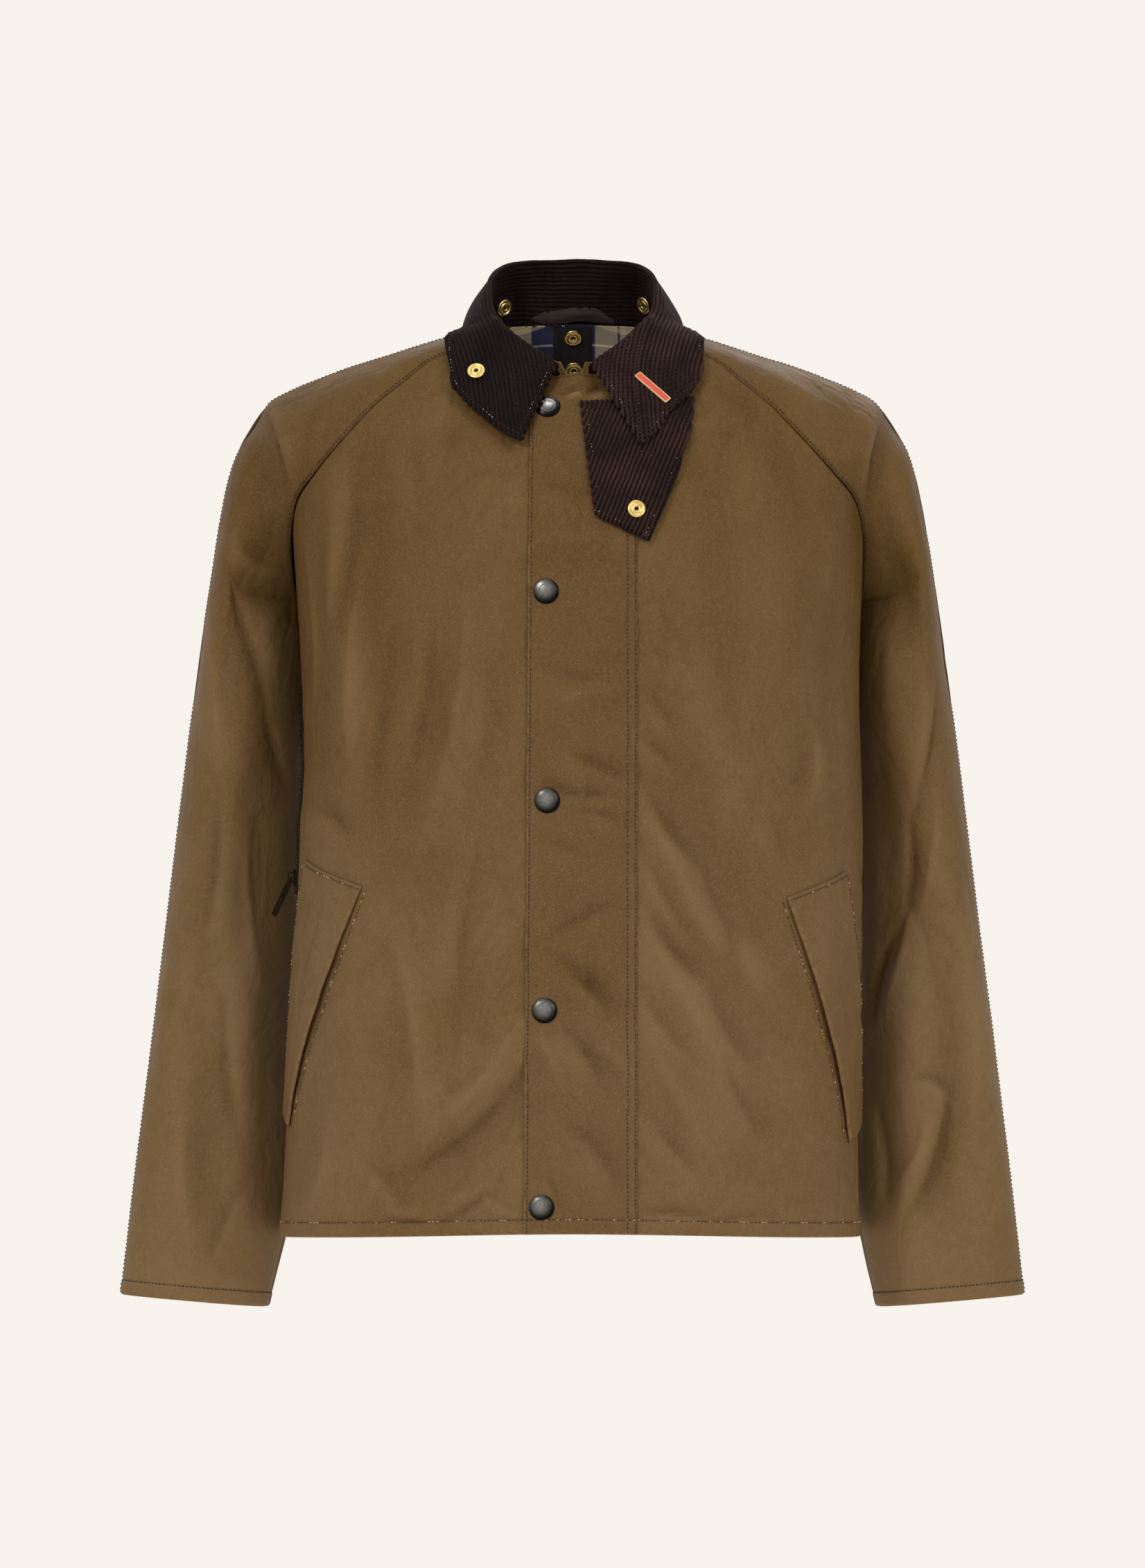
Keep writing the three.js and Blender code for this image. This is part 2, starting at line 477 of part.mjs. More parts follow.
function sleeveRow(side, half, arm, at) {
  const back = half === "back";
  const sign = back ? 1 : -1;
  if (at === undefined) {
    const value = (column) => follow(ARM, "at", column, arm);
    const atArmpit = bodyPoint(side, ARMPIT_ANGLE, ARMPIT_Z);
    const out = vec(side * value("outX"), value("outY"), value("outZ"));
    const shift = side > 0 ? LEFT_ARM_OUT * clamp01((arm - 0.05) / 0.5) : 0;
    const inner = vec(side * (value("inX") + shift), value("inY"), value("inZ"));
    inner.lerp(atArmpit, clamp01((arm - 0.9) / 0.1) ** 2);
    const reach = value(half);
    const lean = back ? -value("lean") * (1 - arm) : value("lean");
    const leave = vec(side * lean, sign, 0).normalize().multiplyScalar(reach);
    if (arm > 0.88) {
      const seam = back ? BACK_SEAM[0] : FRONT_SEAM[0];
      leave.lerp(vec(side * seam.out, seam.back, seam.up), clamp01((arm - 0.88) / 0.12));
    }
    return [inner, inner.clone().add(leave), out.clone().add(vec(0, sign * reach, 0)), out];
  }
  const seam = back ? BACK_SEAM : FRONT_SEAM;
  const start = bodyPoint(side, follow(seam, "at", "angle", at), follow(seam, "at", "z", at));
  const leave = vec(side * follow(seam, "at", "out", at), follow(seam, "at", "back", at), follow(seam, "at", "up", at));
  const ridge = vec(...["x", "y", "z"].map((c) => follow(SHOULDER, "at", c, at)));
  ridge.x *= side;
  const reach = follow(SHOULDER, "at", half, at);
  const level = vec(0, sign * reach, -follow(SHOULDER, "at", "dip", at));
  return [start, start.clone().add(leave), ridge.clone().add(level), ridge];
}

function sleevePanel(side, half, body) {
  const rows = [...armRows.map((arm) => ({ arm })), ...raglanRows];
  const grid = rows.map((row) => {
    const controls = sleeveRow(side, half, row.arm, row.at);
    const line = span(SLEEVE_COLUMNS).map((i) => bezier(...controls, i / SLEEVE_COLUMNS));
    if (row.at !== undefined || row.arm === 1) return line;
    return line.map((p) => pushOut(p, body, mix(1.8, ARM_CLEARANCE, clamp01((ARMPIT_Z - p.z) / 90))));
  });
  const turn = half === "front" ? side : -side;
  const folds = half === "front" ? SLEEVE_FRONT_FOLDS : SLEEVE_BACK_FOLDS;
  const cuff = (j) => (rows[j].arm !== undefined && rows[j].arm < 0.022 ? HEM_RAISE : 0);
  return finishPanel(grid, turn, folds, true, cuff);
}

// Two panels that meet along a seam lean their edges the same way there, where they agree at all
function shareEdge(a, columnA, rowA, b, columnB, rowB, count) {
  for (let k = 0; k <= count; k++) {
    const [first, second] = [a.normals[rowA + k], b.normals[rowB + k]];
    const [i, m] = [columnA < 0 ? first.length - 1 : columnA, columnB < 0 ? second.length - 1 : columnB];
    if (first[i].dot(second[m]) < 0.3) continue;
    const both = first[i].clone().add(second[m]).normalize();
    first[i] = both;
    second[m] = both.clone();
  }
}

const panels = { front_right: frontPanel(-1), front_left: frontPanel(1), back: backPanel() };
const bodySamples = samplesOf(Object.values(panels));
for (const half of ["front", "back"]) {
  panels["sleeve_right_" + half] = sleevePanel(-1, half, bodySamples);
  panels["sleeve_left_" + half] = sleevePanel(1, half, bodySamples);
}
const armpitRow = bodyRows.length - 1;
const armTop = armRows.length - 1;
for (const side of ["right", "left"]) {
  const front = panels["front_" + side];
  const sleeveFront = panels["sleeve_" + side + "_front"];
  const sleeveBack = panels["sleeve_" + side + "_back"];
  const backColumn = side === "right" ? 0 : -1;
  shareEdge(front, -1, 0, panels.back, backColumn, 0, armpitRow);
  shareEdge(front, -1, armpitRow, sleeveFront, 0, armTop, RAGLAN_ROWS);
  shareEdge(panels.back, backColumn, armpitRow, sleeveBack, 0, armTop, RAGLAN_ROWS);
  shareEdge(sleeveFront, -1, 0, sleeveBack, -1, 0, armTop + RAGLAN_ROWS);
  shareEdge(sleeveFront, 0, 0, sleeveBack, 0, 0, armTop);
}

const jacket = new THREE.Group();
function add(name, geometry, look) {
  const mesh = new THREE.Mesh(geometry, new THREE.MeshStandardMaterial(look));
  mesh.name = name;
  jacket.add(mesh);
  return mesh;
}

// Pieces made in the XY plane, facing +Z, and set on a surface: z along its normal, y as far up as that allows
function setOn(name, geometry, look, place, gap, turn = 0) {
  const mesh = add(name, geometry, look);
  const z = place.normal.clone();
  const x = vec(0, 0, 1).cross(z).normalize();
  const y = z.clone().cross(x);
  mesh.quaternion.setFromRotationMatrix(new THREE.Matrix4().makeBasis(x, y, z));
  mesh.rotateZ(radians(turn));
  mesh.position.copy(place.point).addScaledVector(z, gap);
  return mesh;
}

function samplesOf(list) {
  return list.flatMap((panel) => panel.grid.flatMap((row, j) => row.map((p, i) => ({ p, n: panel.normals[j][i] }))));
}

// Moves a point out until it is `clear` above the surface that the samples lie on, if it is near that
function pushOut(p, samples, clear) {
  let nearest = null;
  let best = Infinity;
  for (const s of samples) {
    const d = s.p.distanceToSquared(p);
    if (d < best) [best, nearest] = [d, s];
  }
  const height = p.clone().sub(nearest.p).dot(nearest.n);
  return height < clear && best < NEAR * NEAR ? p.addScaledVector(nearest.n, clear - height) : p;
}

for (const [name, panel] of Object.entries(panels)) add(name, wall(panel, CLOTH), WAX);

// The storm flap lies on both fronts, on the same points
function stormFlap() {
  const [right, left] = [panels.front_right, panels.front_left];
  const pick = (key) =>
    torsoRows.map((_, j) => [
      ...right[key][j].slice(0, FLAP_COLUMNS + 1).reverse().map((p) => p.clone()),
      ...left[key][j].slice(1, FLAP_COLUMNS + 1).map((p) => p.clone()),
    ]);
  const [grid, normals] = [pick("grid"), pick("normals")];
  const top = grid.length - 1;
  grid[top].forEach((p) => {
    const share = (p.x - FRONT_EDGE_X) / FLAP_SEAM_X;
    p.z += FLAP_RISE * clamp01(1 - 2 * Math.abs(share)) - 0.3;
  });
  return { grid: moved(grid, normals, LAY_GAP + CLOTH), normals };
}
const flap = stormFlap();
add("storm_flap", wall(flap, CLOTH), WAX);

// A pocket welt: a rectangle of cloth on the front, sewn at its top, rear and foot, and open along its slanted front edge
function weltPanel(side) {
  const corners = WELTS[side];
  const [columns, rows] = [5, 10];
  const corner = (a, b, t) => [mix(a[0], b[0], t), mix(a[1], b[1], t)];
  const grid = [];
  const normals = [];
  for (const j of span(rows)) {
    const share = j / rows;
    const front = corner(corners.lowFront, corners.front, share);
    const rear = corner(corners.lowRear, corners.rear, share);
    const made = span(columns).map((i) => {
      const [angle, z] = corner(front, rear, i / columns);
      const { point, normal } = onPanel(panels["front_" + side], roundBody, angle, z);
      const open = Math.sin(Math.PI * share) * (1 - i / columns) ** 2 * WELT_LIFT;
      return { point: point.addScaledVector(normal, WELT_GAP + CLOTH + open), normal };
    });
    grid.push(made.map((m) => m.point));
    normals.push(made.map((m) => m.normal));
  }
  return { grid, normals };
}
const welts = { right: weltPanel("right"), left: weltPanel("left") };
for (const side of ["right", "left"]) add("pocket_welt_" + side, wall(welts[side], CLOTH), WAX);

function studCap() {
  const profile = [
    [0, 0],
    [STUD_RADIUS - 0.7, 0],
    [STUD_RADIUS, 0.7],
    [STUD_RADIUS - 0.4, 1.5],
    [STUD_RADIUS * 0.72, 2.45],
    [STUD_RADIUS * 0.36, 2.9],
    [0, STUD_HEIGHT],
  ].map(([r, h]) => new THREE.Vector2(r, h));
  return new THREE.LatheGeometry(profile, 18).rotateX(Math.PI / 2);
}
STUDS.forEach(({ x, z }, k) => {
  setOn("press_stud_" + (k + 1), studCap(), GUNMETAL, onPanel(flap, seenFromFront, x, z), LAY_GAP + 0.15);
});

// The neck seam, from the right front round the back to the left front, level with the panels' top edges
function neckLine() {
  const top = (name) => panels[name].grid[panels[name].grid.length - 1];
  const right = [...top("front_right"), ...top("sleeve_right_front"), ...[...top("sleeve_right_back")].reverse()];
  const left = [...top("front_left"), ...top("sleeve_left_front"), ...[...top("sleeve_left_back")].reverse()];
  const back = top("back");
  return new THREE.CatmullRomCurve3([...right, ...back, ...left.reverse()].map((p) => p.clone()), false, "centripetal");
}
const neck = neckLine();
const neckPoints = neck.getSpacedPoints(400);

// The neck seam's point that is furthest along in the direction of a roll point, seen from above
function neckNear(target) {
  const wanted = Math.atan2(target.x, target.y - 0);
  let best = neckPoints[0];
  let closest = Infinity;
  for (const p of neckPoints) {
    const off = Math.abs(Math.atan2(Math.sin(Math.atan2(p.x, p.y) - wanted), Math.cos(Math.atan2(p.x, p.y) - wanted)));
    if (off < closest) [closest, best] = [off, p];
  }
  return best;
}

const chestSamples = samplesOf(Object.values(panels)).filter((s) => s.p.z > -230);
const flapSamples = samplesOf([flap]).filter((s) => s.p.z > -230);

// A throat tab hanging on the left chest, under the fall
function throatTab() {
  const columns = TAB_RIBS * 2;
  const plainColumns = 8;
  const at = (share, across) => {
    const value = (column) => follow(TAB, "at", column, share);
    const x = mix(value("leftX"), value("rightX"), across);
    const z = mix(value("leftZ"), value("rightZ"), across);
    const y = onPanel(panels.front_left, seenFromFront, Math.max(x, FRONT_EDGE_X + 0.5), z).point.y;
    return pushOut(pushOut(vec(x, y - 6, z), chestSamples, 5.6), flapSamples, LAY_GAP + 0.2 + TAB_WALL);
  };
  const make = (count) => span(TAB_ROWS).map((j) => span(count).map((i) => at(1 - j / TAB_ROWS, i / count)));
  const [fine, plain] = [make(columns), make(plainColumns)];
  const [fineNormals, plainNormals] = [gridNormals(fine, 1), gridNormals(plain, 1)];
  return {
    grid: moved(fine, fineNormals, (i) => (i % 2 ? RIB_HEIGHT : 0)),
    inner: moved(plain, plainNormals, -TAB_WALL),
    flat: { grid: plain, normals: plainNormals },
    normals: fineNormals,
  };
}
const tab = throatTab();
add("throat_tab", wallBetween(tab.grid, tab.inner, tab.normals), CORD);

// The collar's section at one station: up the inside of the stand, over the roll and down the fall
function collarSection(side, at, count) {
  const value = (column) => follow(COLLAR, "at", column, at);
  const roll = vec(side * value("rollX"), value("rollY"), value("rollZ"));
  const edge = vec(side * value("edgeX"), value("edgeY"), value("edgeZ"));
  if (side > 0 && at < 0.25) {
    roll.x += 2 * (1 - at / 0.25);
    edge.add(vec(12.5, 0, -2).multiplyScalar(1 - at / 0.25));
  }
  const ring = neckNear(roll);
  const out = vec(roll.x, roll.y, 0).normalize();
  const base = ring.clone().addScaledVector(out, -COLLAR_WALL - 1).add(vec(0, 0, 0.6));
  const rise = roll.z - base.z;
  const radius = Math.min(ROLL_RADIUS, rise * 0.3);
  const fall = edge.clone().sub(roll);
  const stand = [base, base.clone().add(vec(0, 0, rise * 0.5)), roll.clone().addScaledVector(out, -radius * 1.2), roll];
  const drop = [
    roll,
    roll.clone().addScaledVector(out, radius * 1.4),
    edge.clone().addScaledVector(fall, -0.5).addScaledVector(out, -FALL_HOLLOW),
    edge,
  ];
  const length = (c) => span(12).slice(1).reduce((sum, k) => sum + bezier(...c, k / 12).distanceTo(bezier(...c, (k - 1) / 12)), 0);
  const standShare = length(stand) / (length(stand) + length(drop));
  return span(count).map((i) => {
    const share = i / count;
    const p = share < standShare ? bezier(...stand, share / standShare) : bezier(...drop, (share - standShare) / (1 - standShare));
    if (share < standShare + 0.1) return p;
    return pushOut(pushOut(p, chestSamples, value("lift") + COLLAR_WALL), flapSamples, COLLAR_WALL + 4);
  });
}

function collarPanel() {
  const stations = [
    ...span(COLLAR_STATIONS).map((k) => [-1, k / COLLAR_STATIONS]),
    ...span(COLLAR_STATIONS).slice(0, -1).reverse().map((k) => [1, k / COLLAR_STATIONS]),
  ];
  const make = (count) => stations.map(([side, at]) => collarSection(side, at, count));
  const [fine, plain] = [make(COLLAR_RIBS * 2), make(COLLAR_PLAIN)];
  const [fineNormals, plainNormals] = [gridNormals(fine, -1), gridNormals(plain, -1)];
  return {
    grid: moved(fine, fineNormals, (i) => (i % 2 ? RIB_HEIGHT : 0)),
    inner: moved(plain, plainNormals, -COLLAR_WALL),
    flat: { grid: plain, normals: plainNormals },
    normals: fineNormals,
  };
}
const collar = collarPanel();
add("collar", wallBetween(collar.grid, collar.inner, collar.normals), CORD);

// Part of a panel: some of its rows and columns
const cut = (panel, rows, columns) => ({
  grid: panel.grid.slice(...rows).map((row) => row.slice(...columns)),
  normals: panel.normals.slice(...rows).map((row) => row.slice(...columns)),
});
const STAND_COLUMNS = [0, 5]; // of the collar's plain columns
const FALL_COLUMNS = [7, COLLAR_PLAIN + 1];
const rightFall = cut(collar.flat, [0, 10], FALL_COLUMNS);
const leftFall = cut(collar.flat, [-10], FALL_COLUMNS);
const backStand = cut(collar.flat, [7, -7], STAND_COLUMNS);

// The upper back's lining, with a herringbone tape down its middle
function liningPanel() {
  const from = armpitRow + LINING.firstRow;
  const turned = { grid: panels.back.grid.slice(from), normals: panels.back.normals.slice(from) };
  const inwards = turned.normals.map((row) => row.map((n) => n.clone().negate()));
  const grid = moved(turned.grid, inwards, CLOTH + LINING.gap + LINING.wall);
  return { grid: insetBorders(grid, 1.5), normals: inwards };
}
const lining = liningPanel();
add("neck_lining", wall(lining, LINING.wall), CHECK);

function tapePanel() {
  const made = span(6).map((j) =>
    span(3).map((i) => {
      const x = mix(-TAPE.halfWidth, TAPE.halfWidth, i / 3);
      const { point, normal } = onPanel(lining, seenFromFront, x, mix(TAPE.bottom, TAPE.top, j / 6));
      return { point: point.addScaledVector(normal, LAY_GAP + TAPE.wall), normal };
    }),
  );
  return { grid: made.map((row) => row.map((m) => m.point)), normals: made.map((row) => row.map((m) => m.normal)) };
}
const tape = tapePanel();
add("neck_tape", wall(tape, TAPE.wall), TAPE_BLACK);

// A loop of folded cloth at the back neck, bowed up and away from the collar's stand
function loopPanel() {
  const columns = 12;
  const made = span(2).map((j) =>
    span(columns).map((i) => {
      const along = (2 * i) / columns - 1;
      const bow = 1 - along * along;
      const z = LOOP.low + LOOP.arch * bow + LOOP.width * (j / 2 - 0.5);
      const { point, normal } = onPanel(backStand, seenFromFront, along * LOOP.halfLength, z);
      return { point: point.addScaledVector(normal, RING_GAP - 0.2 + LOOP.wall + LOOP.stand * bow), normal };
    }),
  );
  return { grid: made.map((row) => row.map((m) => m.point)), normals: made.map((row) => row.map((m) => m.normal)) };
}
const loop = loopPanel();
add("hanger_loop", wall(loop, LOOP.wall), LOOP_PLUM);

function ring() {
  const profile = [
    [RING_HOLE, 0.3],
    [RING_RADIUS - 0.5, 0],
    [RING_RADIUS, 0.6],
    [RING_RADIUS - 1.1, RING_HEIGHT],
    [RING_HOLE + 1.6, RING_HEIGHT - 0.5],
    [RING_HOLE, RING_HEIGHT - 0.9],
    [RING_HOLE, 0.3],
  ].map(([r, h]) => new THREE.Vector2(r, h));
  return new THREE.LatheGeometry(profile, 14).rotateX(Math.PI / 2);
}
const rings = [
  ["collar_socket", rightFall, -69, -25, RING_GAP + 0.3],
  ["hood_stud_1", backStand, -51, 25, RING_GAP + 1.6],
  ["hood_stud_2", backStand, 54, 27, RING_GAP + 2.6],
  ["tape_stud_1", tape, 0.4, 3.2, 0.3],
  ["tape_stud_2", tape, 1, -20, 0.3],
  ["tab_stud", tab.flat, 45.7, -124, RING_GAP],
];
for (const [name, panel, x, z, gap] of rings) setOn(name, ring(), BRASS, onPanel(panel, seenFromFront, x, z), gap);

function roundedBar(length, height, thick) {
  const end = height / 2;
  const shape = new THREE.Shape();
  shape.absarc(length / 2 - end, 0, end, -Math.PI / 2, Math.PI / 2);
  shape.absarc(end - length / 2, 0, end, Math.PI / 2, (3 * Math.PI) / 2);
  return new THREE.ExtrudeGeometry(shape, { depth: thick, bevelEnabled: false, curveSegments: 8 });
}
const pinPlace = onPanel(leftFall, seenFromFront, PIN.x, PIN.z);
setOn("collar_pin", roundedBar(PIN.length, PIN.height, PIN.thick), ENAMEL, pinPlace, RING_GAP + 1.3, PIN.turn);

// The side zip: its tape lies on the right front, closed, with the slider at its foot
function zipTape() {
  const made = span(8).map((j) => {
    const z = mix(ZIP.bottom - 12, ZIP.top, j / 8);
    return span(2).map((i) => {
      const reach = bodyPoint(-1, ZIP.angle, z).length();
      const angle = ZIP.angle + THREE.MathUtils.radToDeg((ZIP.width * (i / 2 - 0.5)) / Math.min(reach, 200));
      const { point, normal } = onPanel(panels.front_right, roundBody, angle, z);
      return { point: point.addScaledVector(normal, LAY_GAP + 0.15 + ZIP.wall), normal };
    });
  });
  return { grid: made.map((row) => row.map((m) => m.point)), normals: made.map((row) => row.map((m) => m.normal)) };
}
const zip = zipTape();
add("side_zip", wall(zip, ZIP.wall), TAPE_BLACK);

function toManifold(geometry) {
  const merged = mergeVertices(geometry.clone().deleteAttribute("normal").deleteAttribute("uv"), 1e-4);
  return new wasm.Manifold(
    new wasm.Mesh({
      numProp: 3,
      vertProperties: merged.attributes.position.array,
      triVerts: new Uint32Array(merged.index.array),
    }),
  );
}

function toGeometry(manifold) {
  const mesh = manifold.getMesh();
  const geometry = new THREE.BufferGeometry();
  geometry.setAttribute("position", new THREE.BufferAttribute(new Float32Array(mesh.vertProperties), 3));
  geometry.setIndex(new THREE.BufferAttribute(new Uint32Array(mesh.triVerts), 1));
  geometry.computeVertexNormals();
  return geometry;
}

// The slider's body with a bridge over it, in its own frame: z off the cloth and y up
function sliderGeometry() {
  const block = (w, l, low, high, y) => toManifold(new THREE.BoxGeometry(w, l, high - low).translate(0, y, (low + high) / 2));
  const { width, length, height, bridge, bridgeLength, bridgeTop } = SLIDER;
  const bar = 1;
  const post = bridgeLength / 2 - bar / 2;
  return toGeometry(
    block(width, length, 0, height, 0)
      .add(block(bridge, bar, height - 0.2, bridgeTop, post))
      .add(block(bridge, bar, height - 0.2, bridgeTop, -post))
      .add(block(bridge, bridgeLength, bridgeTop - bar, bridgeTop, 0)),
  );
}

// The pull hangs down -y from the middle of the rim that runs under the bridge, with z through its thickness
function pullGeometry() {
  const { length, width, neck, thick, eye, eyeLength, rim } = PULL;
  const chamfer = 2;
  const outline = [
    [-neck / 2, rim / 2],
    [-neck / 2, -eyeLength - 2],
    [-width / 2, -eyeLength - 4],
    [-width / 2, chamfer - length],
    [chamfer - width / 2, -length],
  ];
  const mirrored = outline.map(([x, y]) => [-x, y]).reverse();
  const shape = new THREE.Shape([...outline, ...mirrored].map(([x, y]) => new THREE.Vector2(x, y)));
  const hole = [
    [-eye / 2, -rim / 2],
    [eye / 2, -rim / 2],
    [eye / 2, -eyeLength - rim / 2],
    [-eye / 2, -eyeLength - rim / 2],
  ];
  shape.holes.push(new THREE.Path(hole.map(([x, y]) => new THREE.Vector2(x, y))));
  return new THREE.ExtrudeGeometry(shape, { depth: thick, bevelEnabled: false }).translate(0, 0, -thick / 2);
}

const zipFoot = onPanel(panels.front_right, roundBody, ZIP.angle, ZIP.bottom);
zipFoot.normal.z = 0;
zipFoot.normal.normalize();
const tapeTop = LAY_GAP + 0.15 + ZIP.wall + 0.45;
setOn("side_zip_slider", sliderGeometry(), BRONZE, zipFoot, tapeTop);
const pull = setOn("side_zip_pull", pullGeometry(), BRONZE, zipFoot, tapeTop + SLIDER.pivot);
pull.rotateX(radians(-PULL.rest));

export default jacket;
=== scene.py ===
# Looks of a short waxed cotton jacket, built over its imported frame.
# Surfaces are worked out in millimetres and made in metres.
# +Z is up, the wearer faces -Y, and the wearer's right side is at -X.
import math

import bpy
import numpy as np
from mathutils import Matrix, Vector, noise
from mathutils.kdtree import KDTree


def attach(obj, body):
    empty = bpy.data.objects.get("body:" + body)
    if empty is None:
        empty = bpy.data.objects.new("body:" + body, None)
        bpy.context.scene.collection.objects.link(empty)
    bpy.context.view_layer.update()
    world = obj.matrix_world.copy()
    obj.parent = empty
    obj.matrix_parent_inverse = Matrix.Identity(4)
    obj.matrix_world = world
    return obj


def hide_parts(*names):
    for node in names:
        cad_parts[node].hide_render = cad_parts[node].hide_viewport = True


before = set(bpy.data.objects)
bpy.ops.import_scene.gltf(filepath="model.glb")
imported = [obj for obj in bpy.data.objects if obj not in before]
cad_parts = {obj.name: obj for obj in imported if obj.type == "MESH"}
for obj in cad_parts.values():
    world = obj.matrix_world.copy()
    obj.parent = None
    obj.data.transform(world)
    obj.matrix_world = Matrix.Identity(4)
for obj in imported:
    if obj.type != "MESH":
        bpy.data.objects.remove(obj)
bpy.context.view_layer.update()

MM = 0.001

# Sizes of the pieces, as in the solids where those have them too
CLOTH = 2
CLOTH_SHELL = 0.85 * CLOTH
RIM_BULGE = 0.35
LAY_GAP = 0.35
BODY_POWER = 2.3
HEM_Z = -646
HEM_LIFT = 4
HEM_BAND = 10
HEM_RAISE = 0.5
ARMPIT_Z = -190
ARMPIT_ANGLE = 98
NECK_FRONT_Z = -30
NECK_BACK_Z = 14
FRONT_EDGE_X = 8
FLAP_SEAM_X = 47
FLAP_EDGE_X = (-30.5, -35)
ARM_CLEARANCE = 2.2
LEFT_ARM_OUT = 8
NEAR = 40
BLEND_REACH = 4.0
ANYWHERE = -1000
WELT_LIFT = 3
WELT_GAP = 0.9
COLLAR_WALL = 2.6
ROLL_RADIUS = 5
FALL_HOLLOW = 8
TAB_WALL = 2.6
TAB_LEAN = math.radians(68)
RIB_HEIGHT = 0.6
RIB_VALLEY = 0.45
FALL_OVER_FLAP = 4
TAB_START = 6
TAB_LIFT = 5.6
LINING = {"gap": 0.4, "wall": 1, "first": 0.4}
TAPE = {"half": 14, "top": 11, "bottom": -44, "wall": 0.8}
LOOP = {"half": 30, "width": 9.5, "wall": 1.2, "low": 15.2, "arch": 4.2, "stand": 2.4, "pinch": 0.22}
ZIP = {"angle": 88, "top": -250, "bottom": -388, "width": 13, "wall": 1}
FRONTWARDS = (0, -1, 0)
STUD_RADIUS = 9.1
STUD_HEIGHT = 3
STUD_SIDES = 64
STUD_COUNT = 5
RING_RADIUS = 6.5
RING_SIDES = 56
PIN = {"length": 32, "height": 5.6, "thick": 1.3, "x": 57.5, "z": -36.5, "tilt": 41, "gap": 0.2}
PULL_GROWTH = 1.6
PULL_ROOT = 6
ZIP_BEVEL = 0.22
ZIP_PARTS = (
    ("side_zip_slider", "zip_slider", "jacket"),
    ("side_zip_pull", "zip_pull", "side_zip_pull"),
)

# Lengths in the cloth that the grids' rows and columns are spread over, a pair for each small piece
RAGLAN = 225
ARM_LENGTH = 545
FLAP_HALF = 39
FRONT_WIDTH = 215
BACK_HALF = 320
SLEEVE_WIDTH = 165
WELT_CUT = (186, 64)
CORNER_CUT = (14, 12)
COLLAR_CUT = (470, 115)
TAB_CUT = (108, 80)
TAPE_CUT = (57, 28)
LOOP_LENGTH = 62
ZIP_LENGTH = 150

# Steps of the fine grids, and closer ones beside hems, seams and narrow borders
STEP = 3.0
RAGLAN_STEP = 2.9
BACK_STEP = 4.3
SLEEVE_BACK_STEP = 3.9
FLAP_STEP = 2.1
WELT_STEP = 3.2
CORD_STEP = 0.62
COLLAR_STEP = 2.3
TAB_STEP = 1.9
TAPE_STEP = 1.6
THIN_STEP = 1.1
LOOP_STEPS = (1.2, 0.9)
SEAM_STEPS = (0.5, 1.1, 1.8, 2.7, 4.0)
HEM_STEPS = (0.5, 1.2, 2.4, 4.2, 6.4, 8.2, 9.2, 9.8, 10.4, 11.2, 12.6, 14.6)
CORD_STEPS = (0.6, 1.3, 2.1, 3.0, 4.2)
TAB_STEPS = (0.5, 1.0, 1.6, 2.3, 3.1)
TAPE_STEPS = (0.5, 1.1)
THIN_STEPS = (0.4, 0.9)
LOOP_END_STEPS = (0.6, 1.4)
FALL_STEPS = (0.5, 1.0, 1.6, 2.2, 2.9, 3.7)

# Creases are this many times as deep as their tables say, at least so wide, and steeper on one side
CREASE_STRENGTH = 2.1
CREASE_LEAST = 2.0
CREASE_STEEP = 0.42
CREASE_FLAT = 1.3

# Cloth stays flat within this distance of a stud's middle, and the flap is pressed flat under it
STUD_STIFF = 14
SEAT = {"radius": 9.5, "fade": 7, "sink": 0.25}

# Widths of the marks along borders: the turned edge, the dip under a row, the painted shade that a joint and
# a row show in the material, and what a pucker shows there
TURN_WIDTH = 0.9
DIP_WIDTH = 0.7
JOINT_MARK = 1.1
ROW_MARK = 0.8
PUCKER_MARK = 7

# Below the armpit this height brings in the painted light beside the gap between body and sleeve, which
# lightens the shade there. The painted light's widths and strengths are those on the fronts and on the
# sleeves
PAINTED_LIGHT_FADE = 60
FRONT_PAINTED_LIGHT = (24, 2.4)
SLEEVE_PAINTED_LIGHT = (45, 3.4)

# The flap's top edge: a peak beside its middle and a little drop at its corners, which fade downwards
FLAP_TOP = {"x": 4, "half": 24, "rise": 5.2, "drop": 1.2, "fade": 12}

# The facings' small corners lean back and bow. They and the flap are darker than the rest, because the
# relief that their colour follows is shifted down
CORNER = {"y": -77.2, "lean": 3.4, "bow": 1.2, "wall": 1.2}
FLAP_SHADE = 1.15
CORNER_SHADE = 0.9

# Painted sheen of the corduroy's pile: how light it is painted at the right and left of the fall, at the
# back, inside the stand and on the tab
NAP_SHEEN = {"right": 0.12, "left": 0.85, "back": 0.45, "stand": 0.35, "tab": 0.8}

# The left fall's front end lies further out than the right one's, and its side bulges a little
LEFT_FALL = {"reach": 0.25, "roll": 2, "out": 12.5, "down": 2, "bulge": 4, "at": 0.44, "width": 0.13}

# Where each panel's unlisted undulation starts in the noise
SEEDS = {"right": 3.0, "left": 17.0, "back": 40.0, "sleeves": 60.0, "welts": 80.0}

# Sewing: the stitches' repeat, length, width, sides and sink, the cords' repeat, and rows as distances
# from the borders they follow
PITCH = 2.9
STITCH = 2.0
THREAD = 0.72
STITCH_SIDES = 5
STITCH_SINK = 0.15
WALE = 3.2
EDGE_ROW = 2.0
SEAM_ROW = 2.2
FLAP_ROWS = (1.4, 7.2)
FLAP_TOP_ROW = 2.4
WELT_TOP_ROW = 2.2
CORNER_ROW = 1.6
CORD_ROW = 3.6

